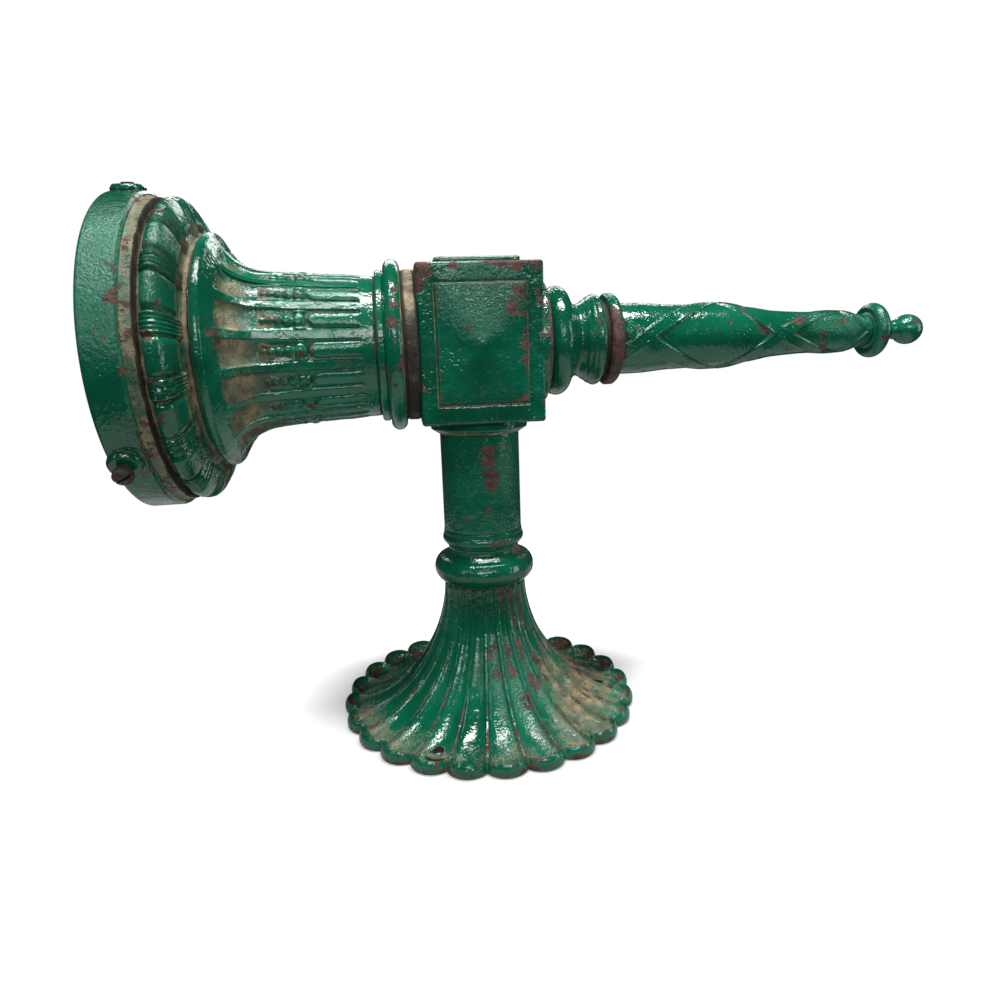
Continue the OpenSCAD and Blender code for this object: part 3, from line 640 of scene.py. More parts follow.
def weather(piece, wear_more=None, dirt_more=None, edge=1.0, hollow=1.0):
    """Stores how worn, dirty and pitted each point is: ridges wear, hollows fill, and spots add to both;
    the dirt value also holds the painted shade that callers add.
    """
    mesh = piece.data
    n = len(mesh.vertices)
    points = np.zeros(n * 3, np.float32)
    mesh.vertices.foreach_get("co", points)
    points = points.reshape(-1, 3).astype(float) / MM
    normals = np.zeros(n * 3, np.float32)
    mesh.vertices.foreach_get("normal", normals)
    normals = normals.reshape(-1, 3)
    edges = np.zeros(len(mesh.edges) * 2, np.int32)
    mesh.edges.foreach_get("vertices", edges)
    a, b = edges.reshape(-1, 2).T
    length = np.linalg.norm(points[a] - points[b], axis=1)
    weight = np.exp(-((length / 2.0) ** 2))
    total = np.bincount(a, weight, n) + np.bincount(b, weight, n) + 1e-9
    soft = points.copy()
    for _ in range(12 // COARSE):
        moved = np.zeros_like(soft)
        for k in range(3):
            moved[:, k] = np.bincount(a, weight * soft[b, k], n) + np.bincount(b, weight * soft[a, k], n)
        share = (total / (total + 0.6))[:, None]
        soft = soft * (1 - share) + share * moved / total[:, None]
    rise = ((soft - points) * normals).sum(1)
    wear = edge * smooth(-rise, 0.10, 0.70) * 0.8
    dirt = hollow * smooth(rise, 0.06, 0.50) * 0.75
    wear = np.maximum(wear, spots(points, RUST_SPOTS, 0.74))
    dirt = np.maximum(dirt, spots(points, DIRT_SPOTS) * (0.45 + 0.55 * smooth(rise, -0.1, 0.3)))
    if wear_more is not None:
        wear = wear_more(points, wear)
    # callers add both dirt and painted shade here: seams, holes and recesses are pushed near black
    if dirt_more is not None:
        dirt = dirt_more(points, dirt)
    for name, values in (("wear", wear), ("dirt", dirt), ("pitted", spots(points, PIT_SPOTS))):
        layer = mesh.attributes.new(name, "FLOAT", "POINT")
        layer.data.foreach_set("value", np.clip(values, 0, 1.6).astype(np.float32))


def finish_piece(piece, nodes, slot="green_enamel", body="bracket", sharp=38, **weathering):
    piece.data.shade_smooth()
    piece.data.set_sharp_from_angle(angle=math.radians(sharp))
    weather(piece, **weathering)
    piece.data.materials.clear()
    piece.data.materials.append(MATERIALS[slot])
    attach(piece, body)
    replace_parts(piece, *nodes)


def turned(name, node, profile, step, count, place, closed=True, **weathering):
    """A turned casting from a profile of (a, r, corner radius)."""
    piece = lathe(name, rounded(profile, step * COARSE, closed), count // COARSE, place)
    finish_piece(piece, [node], **weathering)


# ---- Wall flange ----

LOBES = 24
TIP_R = high("wall_flange", 0)
FOOT_R = TIP_R - 4.5
NECK_R = 25.5
EDGE_Z = 4.0
RIM_Z = 8.5
LOBE_R = 13.2
SCREW_CIRCLE = 74
WALL_HOLE_R = 3.2
PIPE_R = high("stem_pipe", 0)


def ridge_radius(z):
    w = np.clip((z - EDGE_Z) / (FLANGE_H - EDGE_Z), 0, 1)
    return FOOT_R - (FOOT_R - NECK_R) * (1 - (1 - w) ** 1.85) ** (1 / 1.85)


def flange_outline(delta):
    c = TIP_R - LOBE_R
    return c * np.cos(delta) + np.sqrt(LOBE_R**2 - (c * np.sin(delta)) ** 2)


def make_flange():
    per_lobe = 30 // COARSE
    count = LOBES * per_lobe
    t = np.arange(count) * TAU / count
    half = math.pi / LOBES
    delta = (t + half) % (2 * half) - half
    u = np.abs(delta) / half
    outline = flange_outline(delta)
    crest_z = 5.2 + (RIM_Z - 5.2) * np.sqrt(np.clip(1 - u**2.2, 0, 1)) ** 0.9
    rows = []
    # outer wall of the scallops, from the wall plane up to the crest of the lip
    for q in np.linspace(0, 1, 12):
        inset = 1.7 * max(0.0, (q - 0.42) / 0.58) ** 2.4 + 1.0 * max(0.0, (0.35 - q) / 0.35) ** 2
        rows.append((outline - inset, crest_z * q))
    # the ridge line, evenly along its length
    w = np.linspace(0, 1, 4000) ** 1.8
    z = EDGE_Z + w * (FLANGE_H - EDGE_Z)
    r = ridge_radius(z)
    r = np.concatenate([np.linspace(TIP_R - 1.7, r[0] + 0.01, 60), r])
    z = np.concatenate([np.full(60, EDGE_Z), z])
    run = np.concatenate([[0], np.cumsum(np.hypot(np.diff(r), np.diff(z)))])
    marks = np.concatenate([np.arange(0.5, 24, 0.5 * COARSE), np.arange(24.6, run[-1], 1.0 * COARSE)])
    line_r, line_z = np.interp(marks, run, r), np.interp(marks, run, z)
    slope_r, slope_z = np.gradient(line_r, marks), np.gradient(line_z, marks)
    size = np.hypot(slope_r, slope_z)
    normal_r, normal_z = slope_z / size, -slope_r / size
    for k in range(len(marks)):
        pull = float(smooth(line_r[k], 74, TIP_R - 1.7))
        here = line_r[k] - (TIP_R - outline) * pull
        width = here * half
        edge = 1 - 0.80 / width
        flute = np.sqrt(np.clip(1 - np.minimum(1, u / edge) ** 2, 0, 1)) ** 0.85
        depth = np.minimum(0.23 * 2 * width, 4.0) * flute
        rr = here - depth * normal_r[k]
        zz = line_z[k] - depth * normal_z[k]
        # the scoop that ends each flute stands up towards the outline
        from_edge = LOBE_R - np.hypot(here * np.cos(delta) - (TIP_R - LOBE_R), here * np.sin(delta))
        from_edge = np.where(here * np.cos(delta) < TIP_R - LOBE_R, 99, from_edge)
        reach = 6.4
        near_edge = (reach - np.clip(from_edge, 1.7, reach)) / (reach - 1.7)
        climb = 1 - np.sqrt(np.clip(1 - near_edge**2, 0, 1))
        scoop = zz + (crest_z - zz) * climb
        zz = np.where(from_edge < reach, np.maximum(zz, scoop), zz)
        rows.append((rr, zz))
    tail = rounded([(FLANGE_H, NECK_R - 1.6), (FLANGE_H, PIPE_R + 0.1)], 3, closed=False)
    rows += [(np.full(count, p[1]), np.full(count, p[0])) for p in tail]
    hub_z = high("flange_locknut", 2)
    rows.append((np.full(count, PIPE_R + 0.1), np.full(count, hub_z)))
    for z_in in np.concatenate([np.linspace(hub_z, 12, 9), np.linspace(9, 0.8, 6)]):
        r_in = ridge_radius(np.array(z_in + 6.0)) - 5.0
        if r_in > PIPE_R + 3:
            rows.append((np.full(count, float(r_in)), np.full(count, float(z_in))))
    rows.append((np.full(count, 79.5), np.full(count, 0.0)))
    r = np.array([row[0] for row in rows])
    z = np.array([row[1] for row in rows])
    angle = np.repeat(t[None], len(rows), 0)
    points = np.stack(on_stem(z, r, angle), -1).reshape(-1, 3)
    piece = build("flange_casting", points, ring_quads(len(rows), count).tolist())
    holes = [(SCREW_CIRCLE * math.cos(k * TAU / 3), SCREW_CIRCLE * math.sin(k * TAU / 3)) for k in range(3)]
    for x, y in holes:
        combine(piece, rod("pad", (x, y, 0), (x, y, 3.2), 8.2, 48), "UNION")
        combine(piece, rod("cut", (x, y, -3), (x, y, 30), WALL_HOLE_R), "DIFFERENCE")

    def worn(p, wear):
        rim = np.hypot(p[:, 0], p[:, 1])
        wear = np.maximum(wear, 0.62 * (rim > 87.5) * smooth(6.5 - p[:, 2], 0, 4))
        streak = 0.5 + 0.5 * np.sin(np.arctan2(p[:, 1], p[:, 0]) * 24 + 0.9)
        front = smooth(p[:, 0], -8, 6) * smooth(p[:, 0], 44, 28) * (p[:, 1] < 0)
        wear = np.maximum(wear, 0.52 * front * streak * smooth(p[:, 2], 10, 18))
        return wear * np.where((p[:, 1] < 0) & (p[:, 2] > 18), 1.0, 0.9)

    def add_dirt_and_shade(p, dirt):
        rim = np.hypot(p[:, 0], p[:, 1])
        side = smooth(p[:, 0], 0, 45)
        dirt = dirt * (0.75 + 0.65 * side)
        dirt = np.maximum(dirt, 0.66 * side * smooth(rim, 26, 50) * smooth(88 - rim, 0, 8))
        dirt = np.maximum(dirt, 0.50 * smooth(rim, 60, 78) * smooth(89 - rim, 0, 5))
        # painted shade: the walls of the screw holes are near black
        hole = np.min([np.hypot(p[:, 0] - x, p[:, 1] - y) for x, y in holes], 0)
        return np.maximum(dirt, 1.5 * (hole < WALL_HOLE_R + 0.15))

    finish_piece(piece, ["wall_flange"], wear_more=worn, dirt_more=add_dirt_and_shade, edge=0.75)


make_flange()

# ---- Stem ----

bore = PIPE_R + 0.6
collar = [(FLANGE_H, bore), (FLANGE_H, NECK_R - 0.4, 0.4), (FLANGE_H + 1.2, NECK_R + 0.2, 0.5)]
collar += bead(FLANGE_H + 9.4, 22.3, 9.0, -82, 48, 20)
collar += [
    (FLANGE_H + 16.6, 27.2, 0.5), (FLANGE_H + 17.2, 25.6, 0.8), (FLANGE_H + 20.4, 22.0, 2.5),
    (FLANGE_H + 23.2, 21.9, 2), (FLANGE_H + 24.6, 23.2, 0.6),
]
collar += bead(FLANGE_H + 28.4, 21.4, 3.9, -66, 62, 14)
collar += [(FLANGE_H + 31.2, 24.4, 0.4), (SLEEVE_Z0, 24.2, 0.4), (SLEEVE_Z0, bore)]
turned("turned_collar", "stem_collar", collar, 0.7, 160, on_stem, hollow=1.2)

wall = high("stem_sleeve", 0) - 5
sleeve = [
    (SLEEVE_Z0, wall), (SLEEVE_Z0, 23.7, 0.5), (SLEEVE_Z0 + 0.8, 24, 0.5),
    (SLEEVE_Z1, 24, 0.3), (SLEEVE_Z1, wall),
]
turned("plain_sleeve", "stem_sleeve", sleeve, 1.0, 120, on_stem)

ring = [
    (SLEEVE_Z1 - 6, bore), (SLEEVE_Z1 - 6, wall - 0.1), (SLEEVE_Z1, wall - 0.1),
    (SLEEVE_Z1, 24.8, 0.4), (SLEEVE_Z1 + 2.6, 28.9, 0.8), (SLEEVE_Z1 + 3.4, 29.3, 0.6),
    (BLOCK_Z0, 29.3, 0.4), (BLOCK_Z0, bore),
]
turned(
    "under_ring", "stem_top_ring", ring, 0.8, 140, on_stem,
    # painted shade: the underside of the ring's flare, just above the sleeve, is near black
    dirt_more=lambda p, d: np.maximum(d, 1.1 * smooth(p[:, 2], SLEEVE_Z1 + 2.8, SLEEVE_Z1 + 0.4)),
)


# ---- Junction block and cover ----


def lines(*marks):
    """Grid lines through the marks, close together near each of them and wider between."""
    found = set()
    for m in marks:
        for d in (0, 0.35, 0.8, 1.4, 2.2, 3.2):
            found.update((round(m - d, 3), round(m + d, 3)))
    lo, hi = marks[0], marks[-1]
    found = sorted(x for x in found if lo <= x <= hi)
    out = [found[0]]
    for x in found[1:]:
        gap = x - out[-1]
        if gap < 0.2:
            continue
        parts = max(1, int(round(gap / 2.2)))
        out += [out[-1] + gap * k / parts for k in range(1, parts + 1)] if parts > 1 else [x]
    out[-1] = hi
    return np.array(out)


def soften(points, centre, half, radius):
    """Rounds the edges and corners of a box."""
    p = points - centre
    inner = np.clip(p, -(half - radius), half - radius)
    d = p - inner
    size = np.linalg.norm(d, axis=1)
    moved = np.where(size[:, None] > 1e-9, inner + d / np.maximum(size, 1e-9)[:, None] * radius, p)
    edge = (np.abs(d) > 1e-9).sum(1) >= 2
    return centre + np.where(edge[:, None], moved, p)


def make_block():
    half = np.array([BLOCK_HALF, BLOCK_HALF, (BLOCK_Z1 - BLOCK_Z0) / 2])
    centre = np.array([0, 0, (BLOCK_Z0 + BLOCK_Z1) / 2])
    panel = (25.0, 32.5)

    def shape(p):
        q = soften(p, centre, half, 1.8)
        face = np.abs(p[:, 1]) >= BLOCK_HALF - 1e-6
        dx, dz = np.abs(p[:, 0]), np.abs(p[:, 2] - centre[2])
        inside = np.minimum(panel[0] - dx, panel[1] - dz)
        rise = 2.0 * smooth(inside, -0.4, 0.9)
        rise -= 0.45 * np.exp(-(((inside + 0.75) / 0.5) ** 2))
        foot_x, foot_z = panel[0] - 1.2, panel[1] - 1.2
        rise += 4.4 * np.clip(np.minimum((foot_x - dx) / foot_x, (foot_z - dz) / foot_z), 0, 1)
        q[:, 1] += np.where(face, np.sign(p[:, 1]) * rise, 0)
        return q

    xs = lines(-BLOCK_HALF, -panel[0], 0, panel[0], BLOCK_HALF)
    ys = lines(-BLOCK_HALF, BLOCK_HALF)
    zs = lines(BLOCK_Z0, centre[2] - panel[1], centre[2], centre[2] + panel[1], BLOCK_Z1)
    piece = lattice_box("block_casting", xs, ys, zs, shape)
    disc = [
        (BLOCK_HALF - 3, 0), (BLOCK_HALF - 3, 35.4), (BOSS_S - 0.9, 35.4), (BOSS_S - 0.3, 35.1),
        (BOSS_S, 34.5), (BOSS_S, 0),
    ]
    disc = lathe("boss", rounded(disc, 1.5, closed=False), 160 // COARSE, on_spire)
    combine(piece, disc, "UNION")
    w = BLOCK_HALF - 6
    combine(piece, brick("cut", (-w, -w, BLOCK_Z0 + 6), (w, w, BLOCK_Z1 - 6)), "DIFFERENCE")
    for start, end, radius, count in (
        ((0, 0, BLOCK_Z0 - 3), (0, 0, BLOCK_Z0 + 9), PIPE_R + 0.05, 64),
        ((0, 0, BLOCK_Z1 - 9), (0, 0, BLOCK_Z1 + 3), 22.4, 64),
        ((-BLOCK_HALF - 3, 0, ARM), (-BLOCK_HALF + 9, 0, ARM), PIPE_R + 0.05, 64),
        ((BLOCK_HALF - 9, 0, ARM), (BOSS_S + 3, 0, ARM), 6.4, 48),
    ):
        combine(piece, rod("cut", start, end, radius, count), "DIFFERENCE")
    finish_piece(piece, ["junction_block"], sharp=50, edge=0.9)


COVER_SCREW = 19.5


def make_cover():
    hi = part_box("block_cover")[1]
    z0, z1 = BLOCK_Z1, hi.z / MM
    half = np.array([hi.x / MM, hi.y / MM, (z1 - z0) / 2])
    centre = np.array([0, 0, (z0 + z1) / 2])
    xs = lines(-half[0], half[0])
    zs = np.linspace(z0, z1, 7)
    piece = lattice_box("square_cover", xs, xs, zs, lambda p: soften(p, centre, half, 1.3))
    for side in (-1, 1):
        x = side * COVER_SCREW
        combine(piece, rod("cut", (x, x, z0 - 2), (x, x, z1 + 2), 2.05), "DIFFERENCE")
        cone = [(z1 - 1.95, 0), (z1 - 1.95, 2.0), (z1 + 0.05, 4.05), (z1 + 1, 4.05), (z1 + 1, 0)]
        cone = rounded(cone, closed=False)
        sink = lathe("cut", cone, 40, lambda a, r, t, x=x: (x + r * np.cos(t), x + r * np.sin(t), a))
        combine(piece, sink, "DIFFERENCE")
    finish_piece(piece, ["block_cover"], sharp=50)


make_block()
make_cover()

# ---- Neck collar ----

S = NECK_S0
neck = [(S, bore), (S, 42.2, 0.5), (S + 0.9, 43.0, 0.5), (S + 6.2, 43.0, 0.6), (S + 7.2, 42.2, 0.8)]
neck += bead(S + 12.5, 44.0, 4.7, -98, 98, 20)
neck += [
    (S + 17.6, 42.0, 0.7), (S + 18.2, 43.0, 0.6), (BELL_S0 - 0.9, 43.0, 0.7), (BELL_S0, 42.0, 0.5),
    (BELL_S0, bore),
]


def neck_recess(p):
    return smooth(-p[:, 0], 44.5, 42.5)


def neck_dirt_and_shade(p, dirt):
    # painted shade: the recessed band next to the block is near black, darker towards its underside; the
    # end by the block and the recess edge get some dirt
    recess = (1.05 + 0.25 * smooth(p[:, 2], 262, 235)) * neck_recess(p)
    edge = 0.55 * smooth(-p[:, 0], 36.4, 35.2) + 0.5 * np.exp(-((-p[:, 0] - 42.6) ** 2))
    return np.maximum(dirt, recess + edge)


turned(
    "neck_rings", "neck_collar", neck, 0.7, 200, on_bell,
    dirt_more=neck_dirt_and_shade,
    wear_more=lambda p, w: np.maximum(w, 0.40 * neck_recess(p)),
    hollow=1.2,
)

# ---- Fluted bell ----

FLUTES = 16
BELL_LINE = np.array([
    [57, 39.6], [60, 39.8], [66, 40.1], [75, 40.9], [81, 41.0], [93, 41.8], [102, 42.5], [114, 43.7],
    [120, 44.6], [123, 45.6], [126, 46.8], [129, 48.3], [132, 50.5], [135, 54.0], [137, 57.2],
    [139, 60.4], [141, 63.0],
])


def bell_line(s):
    return np.interp(s, BELL_LINE[:, 0] + (BELL_S0 - BELL_LINE[0, 0]), BELL_LINE[:, 1])


def make_bell():
    s = BELL_S0
    outer = [(a, float(bell_line(a))) for a in np.arange(s + 1.2, BELL_S1 - 6.4, 0.8 * COARSE)]
    lip = bead(BELL_S1 - 4.0, 61.0, 3.3, -50, 86, 14)
    inner = [(a, float(bell_line(a - 4)) - 4.6) for a in np.arange(BELL_S1 - 10, s + 8, -3.0)]
    profile = [(s, PIPE_R + 0.05), (s, 38.8), (s + 0.5, 39.4), *outer, *lip, (BELL_S1, 58.5)]
    profile += [(BELL_S1, 52.4), (BELL_S1 - 3, 52.2)] + [(a, min(52.0, r)) for a, r in inner]
    profile += [(s + 8, 34.5), (s + 8, PIPE_R + 0.05)]
    profile = rounded(profile, 2.6)
    count = FLUTES * (40 // COARSE)
    flute = TAU / FLUTES

    def bend(a, r, t):
        skin = (r > bell_line(a) - 1.2) & (a < BELL_S1 - 5.0)
        d = (t + flute / 2) % flute - flute / 2
        u = np.abs(d) / (flute / 2)
        arc = d * r
        open_end = smooth(a, s + 7.6, s + 8.6)
        mouth = smooth(a, BELL_S1 - 9.5, BELL_S1 - 13.0)
        wide = 0.74 + 0.06 * smooth(a, s + 40, s + 75)
        hollow = np.sqrt(np.clip(1 - (u / wide) ** 2, 0, 1)) ** 0.9
        depth = (2.0 + 1.5 * smooth(a, s + 50, s + 72)) * open_end * mouth * hollow
        # a round reed fills the flute near the neck
        reed_end = s + 35.2
        taper = np.clip((reed_end - a) / 4.0, 0, 1)
        reed_w = 4.2 * np.sqrt(np.clip(1 - (1 - taper) ** 2, 0, 1)) * (a > s + 8)
        reed = np.sqrt(np.clip(1 - (arc / np.maximum(reed_w, 1e-6)) ** 2, 0, 1))
        reed = reed * (np.abs(arc) < reed_w) * (a < reed_end)
        fill = 2.35 * reed * open_end
        # a chain of beads runs out from the reed and shrinks
        for centre, size in ((39.6, 3.8), (45.6, 2.9), (50.4, 2.4), (54.6, 2.1), (58.2, 1.7)):
            away = ((a - s - centre) / size) ** 2 + (arc / (size * 1.08)) ** 2
            fill = np.maximum(fill, (0.55 + size * 0.62) * np.sqrt(np.clip(1 - away, 0, 1)))
        # husks either side of the first bead
        away = ((a - s - 39.2) / 3.6) ** 2 + ((np.abs(arc) - 4.6) / 1.1) ** 2
        fill = np.maximum(fill, 1.2 * np.sqrt(np.clip(1 - away, 0, 1)))
        return a, np.where(skin, r - depth + fill * open_end, r)

    piece = lathe("bell_casting", profile, count, on_bell, bend)

    def add_dirt_and_shade(p, dirt):
        s_here, radius = bell_places(p)
        flared = smooth(s_here, 112, 128) * smooth(BELL_S1 - 6 - s_here, 0, 3)
        sunk = smooth(bell_line(s_here) - radius, 0.4, 2.0)
        under = smooth(p[:, 2] - ARM, 50, -20)
        dirt = np.maximum(dirt, flared * sunk * (0.50 + 0.40 * under))
        # the deepest parts of the flutes round the beads are made near black
        beads = smooth(s_here, BELL_S0 + 34, BELL_S0 + 37) * smooth(BELL_S0 + 62 - s_here, 0, 3)
        dirt = np.maximum(dirt, 1.15 * beads * smooth(bell_line(s_here) - radius, 1.5, 2.2))
        # painted shade: the lip's far side, in the seam against the gadroon ring, is near black
        return np.maximum(dirt, 0.95 * smooth(s_here, BELL_S1 - 2.2, BELL_S1 - 0.6))

    finish_piece(piece, ["fluted_bell"], dirt_more=add_dirt_and_shade, hollow=0.8)


make_bell()

# ---- Gadroon ring ----

CREST_R = 82.5


def make_gadroons():
    s = BELL_S1
    w = GAD_S1 - s
    line = [
        (0, 60.5), (0.6, 62.5), (2.0, 67.5), (3.6, 72.8), (5.4, 77.3), (7.4, 80.6),
        (9.6, 82.3), (11.2, CREST_R), (13.4, 81.8), (15.4, 80.2), (16.8, 78.6), (w, 76.6),
    ]
    curve = np.array(line, float)
    along = np.concatenate([[0], np.cumsum(np.hypot(*np.diff(curve, axis=0).T))])
    marks = np.linspace(0, along[-1], 64 // COARSE)
    # a smooth line through the listed points
    fit_a = np.polynomial.Polynomial.fit(along, curve[:, 0], 6)
    fit_r = np.polynomial.Polynomial.fit(along, curve[:, 1], 6)
    outer = [(s + float(np.clip(fit_a(m), 0, w)), float(min(fit_r(m), CREST_R))) for m in marks]
    profile = [(s, 52.0), (s, 57.0), *outer, (s + w, 70), (s + w, 60), (s + w, 52.0)]
    profile += [(s + w * 0.66, 52.0), (s + w * 0.33, 52.0)]
    profile = np.array(profile)
    first, last = 2, 2 + len(outer) - 1
    share = np.zeros(len(profile))
    share[first : last + 1] = np.linspace(0, 1, len(outer))
    on_skin = np.zeros(len(profile), bool)
    on_skin[first + 1 : last] = True
    tangent = np.gradient(profile, axis=0)
    tangent /= np.linalg.norm(tangent, axis=1)[:, None] + 1e-9
    normal_a, normal_r = -tangent[:, 1], tangent[:, 0]
    flip = np.where(normal_r < 0, -1.0, 1.0)
    normal_a, normal_r = normal_a * flip, normal_r * flip
    count = FLUTES * (44 // COARSE)
    pitch = TAU / FLUTES

    def bend(a, r, t):
        v = np.abs((t + pitch / 2) % pitch - pitch / 2) / pitch
        q = share[:, None] + 0 * t
        width = CREST_R * pitch
        # depth in millimetres: the pillow, its border groove, and three reeds between two pillows
        across = (0.300 - v) * width
        end = np.minimum(q - 0.16, 0.93 - q) * along[-1]
        corner = (across < 3.2) & (end < 3.2)
        near = np.where(corner, 3.2 - np.hypot(3.2 - across, 3.2 - end), np.minimum(across, end))
        pillow = 2.0 * np.sqrt(np.clip(near, 0, 2.6) / 2.6) - 2.0
        pillow = np.where(near > 0, pillow, -2.0)
        reed = np.full_like(v, -2.0)
        for centre, half in ((0.365, 0.036), (0.432, 0.030), (0.500, 0.036)):
            x = np.clip(np.abs(v - centre) / half, 0, 1)
            reed = np.maximum(reed, 1.75 * np.sqrt(1 - x * x) - 2.0)
        ends = smooth(q, 0.02, 0.16) * smooth(q, 1.0, 0.93)
        lift = np.where(v < 0.322, pillow, reed)
        lift = -1.6 + (lift + 1.6) * ends
        fade = smooth(q, 0.0, 0.05) * smooth(q, 1.0, 0.97)
        lift = lift * fade * on_skin[:, None]
        return a + lift * normal_a[:, None], r + lift * normal_r[:, None]

    piece = lathe("gadroon_casting", profile, count, on_bell, bend)

    def add_dirt_and_shade(p, dirt):
        s_here, radius = bell_places(p)
        dirt = np.maximum(dirt, 0.80 * smooth(s_here, s + 4.5, s + 1.5) * smooth(radius, 76, 68))
        # painted shade: the end face against the globe fitter is near black, a dark seam
        return np.maximum(dirt, 1.35 * smooth(s_here, s + w - 1.6, s + w - 0.6))

    finish_piece(piece, ["gadroon_ring"], dirt_more=add_dirt_and_shade, hollow=0.9, edge=0.8)


make_gadroons()

# ---- Globe fitter ----

FIT_R = 85.2
BORE_R = 78.0
SCREW_S = -(low("globe_set_screw", 0) + high("globe_set_screw", 0)) / 2
SCREWS = {joint["child"]: -np.array(joint["axis"], float) for joint in frame["joints"]}
JOINT_R = 57.75


def make_fitter():
    s, e = GAD_S1, RIM_S
    profile = [
        (s, 52.0, 0.5), (s, 82.0, 0.8), (s + 5.4, 82.5, 0.5), (s + 5.5, 83.6, 0.4), (s + 6.6, 85.1, 0.9),
        (e - 1.4, FIT_R, 1.4), (e, 83.8, 1.1), (e, BORE_R + 0.5, 0.6), (e - 0.8, BORE_R, 0.6),
        (s + 4.5, BORE_R, 0.8), (s + 4.5, 52.0, 0.5),
    ]
    piece = lathe("band_casting", rounded(profile, 1.1 * COARSE), 300 // COARSE, on_bell)
    for out in SCREWS.values():
        foot = np.array([-SCREW_S, 0, ARM]) + out * (FIT_R - 4)
        boss = rounded([(0, 0), (0, 8.9), (5.2, 8.9, 1.0), (7.2, 7.6, 1.2), (7.2, 0)], 0.8, closed=False)
        combine(piece, lathe("boss", boss, 64, standing(foot, out)), "UNION")
        combine(piece, rod("cut", foot - out * 8, foot + out * 12, 3.21, 40), "DIFFERENCE")
    for k in range(3):
        turn = math.radians(60 + 120 * k)
        y, z = math.sin(turn) * JOINT_R, ARM + math.cos(turn) * JOINT_R
        combine(piece, rod("cut", (-s + 3, y, z), (-s - 9, y, z), 2.55, 32), "DIFFERENCE")
        cone = [(s + 1.9, 0), (s + 1.9, 2.55), (s + 4.5, 4.5), (s + 6, 4.5), (s + 6, 0)]
        sink = lathe("cut", cone, 32, lambda a, r, t, y=y, z=z: (-a, y + r * np.cos(t), z - r * np.sin(t)))
        combine(piece, sink, "DIFFERENCE")

    def add_dirt_and_shade(p, dirt):
        s_here, radius = bell_places(p)
        step = smooth(s_here, s + 6.2, s + 5.0) * smooth(radius, 78, 80)
        dirt = np.maximum(dirt, step * 0.70)
        # painted shade: the face against the gadroon ring is near black, a dark seam
        dirt = np.maximum(dirt, 1.3 * (radius > 78) * smooth(s_here, s + 1.1, s + 0.4))
        return np.maximum(dirt, 0.6 * (radius < 79) * smooth(s_here, s + 12, s + 5))

    def worn(p, wear):
        s_here, radius = bell_places(p)
        inside = (radius < 79.5) & (s_here > s + 3)
        wear = np.maximum(wear, 0.55 * inside)
        ring = smooth(s_here, s + 6.6, s + 5.2) * smooth(radius, 78, 80)
        edge = smooth(s_here, s + 11.5, s + 6.0) * (radius > 79.5)
        return np.maximum(wear, np.maximum(0.40 * ring, 0.42 * edge))

    finish_piece(piece, ["globe_fitter"], dirt_more=add_dirt_and_shade, wear_more=worn)


make_fitter()


def make_globe_screw(body, node, name):
    """A slotted fillister screw that stands out of the band, its slot askew."""
    out = SCREWS[body]
    base = np.array([-SCREW_S, 0, ARM])
    head = FIT_R + 5.8
    profile = [
        (BORE_R - 4, 0), (BORE_R - 4, 2.4, 0.4), (BORE_R - 3.2, 3.17, 0.3), (head, 3.17, 0.2),
        (head, 4.7, 0.4), (head + 0.5, 5.0, 0.4), (head + 3.6, 5.0, 1.0), (head + 4.6, 4.0, 1.4),
        (head + 5.0, 1.5, 1.0), (head + 5.0, 0),
    ]
    piece = lathe(name, rounded(profile, 0.5, closed=False), 48, standing(base, out))
    side = np.array([1.0, 0, 0])
    angle = math.radians(28)
    along = math.cos(angle) * side + math.sin(angle) * np.cross(out, side)
    across = np.cross(out, along)
    rim = ((-7, -0.65), (7, -0.65), (7, 0.65), (-7, 0.65))
    slot = [base + out * h + along * a + across * c for h in (head + 3.1, head + 7) for a, c in rim]
    faces = [(3, 2, 1, 0), (4, 5, 6, 7), (0, 1, 5, 4), (1, 2, 6, 5), (2, 3, 7, 6), (3, 0, 4, 7)]
    combine(piece, build("cut", slot, faces), "DIFFERENCE")
    finish_piece(piece, [node], slot="rusty_iron", body=body, sharp=30)


make_globe_screw("front_screw", "globe_screw_front", "front_globe_screw")
make_globe_screw("back_screw", "globe_screw_back", "back_globe_screw")

# ---- Spool, washer, spire and finial ----

B = BOSS_S
spool = [(B, 7), (B, 22.5, 0.3), (B + 0.9, 23.8, 0.4)]
spool += bead(B + 7.6, 25.1, 7.0, -86, 74, 22)
spool += [
    (B + 15.0, 25.4, 1.2), (B + 17.4, 22.0, 2.5), (B + 19.8, 20.7, 2.5), (B + 21.4, 21.5, 1.0),
    (B + 22.9, 22.2, 1.0), (B + 24.2, 23.4, 1.0), (B + 25.7, 24.1, 1.0), (B + 27.0, 25.3, 0.9),
    (B + 28.4, 26.0, 0.9),
]
spool += bead(B + 31.0, 24.0, 2.9, -58, 80, 12)
spool += [(B + 34.0, 23.8, 0.5), (B + 34.2, 22.4, 0.5), (WASHER_S, 22.2, 0.3), (WASHER_S, 7)]
turned(
    "turned_spool", "spool", spool, 0.7, 160, on_spire,
    # painted shade: the narrow neck between the last bead and the washer is near black
    dirt_more=lambda p, d: np.maximum(d, 1.5 * smooth(p[:, 0], B + 33.0, B + 33.8)),
)

W = WASHER_S
washer = [
    (W, 7), (W, 25.9, 0.6), (W + 1.2, 27.1, 0.8), (SPIRE_S0 - 1.9, 27.0, 1.0),
    (SPIRE_S0, 25.4, 1.0), (SPIRE_S0, 7),
]
turned(
    "plain_washer", "spire_washer", washer, 0.6, 140, on_spire,
    wear_more=lambda p, w: 0.40 + 0.50 * smooth(p[:, 2] - ARM, 22, 2),
)

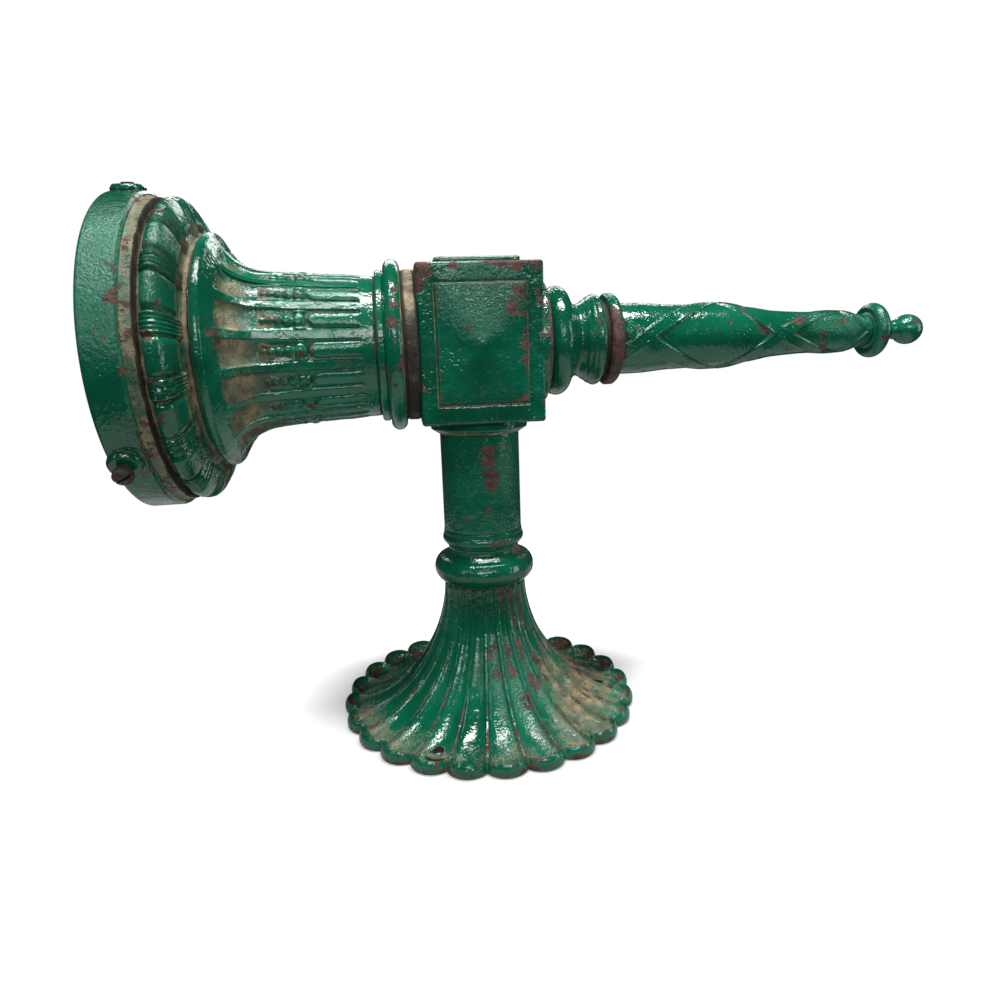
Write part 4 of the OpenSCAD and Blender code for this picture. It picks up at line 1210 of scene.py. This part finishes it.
SPIRE_LINE = np.array([
    [84, 20.6], [86, 21.3], [101, 21.1], [116, 19.7], [132, 19.2], [152, 19.3], [163, 17.8], [174, 16.3],
    [184, 14.4], [195, 13.5], [206, 12.9], [216, 12.8], [233, 12.1], [238, 11.1], [249, 10.0],
])
TURNS = np.array([[84, -24], [97.5, 0], [148, 90], [186, 180], [230, 270], [247.5, 360], [249, 366]], float)


def make_spire():
    marks = np.arange(SPIRE_S0, SPIRE_S1 - 0.3, 0.75 * COARSE)
    grid = np.linspace(SPIRE_S0 - 6, SPIRE_S1 + 6, 700)
    shift = SPIRE_S0 - SPIRE_LINE[0, 0]
    kernel = np.exp(-(np.linspace(-2.2, 2.2, 41) ** 2))
    kernel /= kernel.sum()

    def smoothed(table):
        values = np.interp(grid, table[:, 0] + shift, table[:, 1])
        values = np.concatenate([np.full(20, values[0]), values, np.full(20, values[-1])])
        return np.convolve(values, kernel, "valid")

    girth, turn = smoothed(SPIRE_LINE), np.radians(smoothed(TURNS))
    rate = np.gradient(turn, grid)
    profile = [(SPIRE_S0, 0), (SPIRE_S0, 12.0), (SPIRE_S0, 20.2)]
    profile += [(a, float(np.interp(a, grid, girth))) for a in marks[1:]]
    profile += [(SPIRE_S1, 9.2), (SPIRE_S1, 5.0), (SPIRE_S1, 0)]

    def bend(a, r, t):
        lead, rise = np.interp(a, grid, turn), np.interp(a, grid, rate)
        lift = np.zeros_like(r)
        width = 8.4 - 2.8 * smooth(a, SPIRE_S0 + 60, SPIRE_S1)
        for way in (1, -1):
            for start in (0, math.pi):
                d = (t - way * lead - start + math.pi) % TAU - math.pi
                away = np.abs(d) * r * np.cos(np.arctan(rise * r))
                band = smooth(width / 2 - away, -0.25, 0.85)
                rim = np.exp(-(((away - width / 2 + 1.0) / 0.7) ** 2))
                lift = np.maximum(lift, 0.85 * band + 0.25 * rim * band)
        fade = smooth(a, SPIRE_S0, SPIRE_S0 + 2.5) * smooth(a, SPIRE_S1, SPIRE_S1 - 1.5)
        return a, np.where(r > 9.5, r + lift * fade - 0.15, r)

    piece = lathe("spire_casting", np.array(profile), 240 // COARSE, on_spire, bend)
    finish_piece(piece, ["spire"], edge=1.1)


make_spire()

F = SPIRE_S1
disc = [(F, 4.0), (F, 9.9, 0.3), (F + 0.6, 11.2, 0.6)]
disc += bead(F + 4.6, 12.7, 4.3, -72, 72, 16)
disc += [(F + 8.8, 10.4, 0.5), (high("finial_disc", 0), 8.0, 0.4), (high("finial_disc", 0), 4.0, 0)]
turned("finial_ring", "finial_disc", disc, 0.6, 100, on_spire, edge=1.3)

D = high("finial_disc", 0)
BALL_R = 9.4
C = high("finial_ball", 0) - BALL_R
knob = [
    (D - 4, 0), (D - 4, 3.9), (D, 3.9), (D + 0.05, 7.2, 0.3), (D + 1.8, 7.6, 0.9),
    (D + 3.4, 6.2, 0.9), (D + 5.5, 5.5, 1.6), (D + 8, 5.4, 1.5), (D + 10.2, 5.9, 1),
]
knob += bead(C, 0, BALL_R, -48, 88, 26) + [(C + BALL_R, 0)]
turned("finial_knob", "finial_ball", knob, 0.6, 80, on_spire, closed=False)


# ---- Lampholder screw shell, with its rolled thread ----


def make_shell():
    s0, s1 = -high("lampholder_shell", 0), -low("lampholder_shell", 0)
    profile = [(s0, 8.0), (s0, 14.1, 0.3), (s1, 14.1), (s1, 13.4), (s0 + 0.8, 13.4), (s0 + 0.8, 8.0)]
    profile = rounded(profile, 0.45 * COARSE)
    pitch = 3.63

    def bend(a, r, t):
        wave = 0.5 + 0.5 * np.cos(TAU * a / pitch - t)
        grown = smooth(a, s0 + 1.2, s0 + 3) * smooth(a, s1 - 0.4, s1 - 1.6)
        return a, np.where(r > 13.2, r - 0.72 * wave * grown, r)

    piece = lathe("screw_shell", profile, 96 // COARSE, on_bell, bend)
    finish_piece(piece, ["lampholder_shell"], slot="dull_brass", sharp=60)


make_shell()

# ---- Finishes of the CAD nodes that stay ----

stood_for = {n for o in scene.objects for n in o.get("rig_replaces", [])}
slots = {row["node"]: row["material_slot"] for row in frame["record"]["subparts"]}
for node, piece in frame["nodes"].items():
    if node not in stood_for:
        piece.data.materials.clear()
        piece.data.materials.append(MATERIALS[slots[node]])
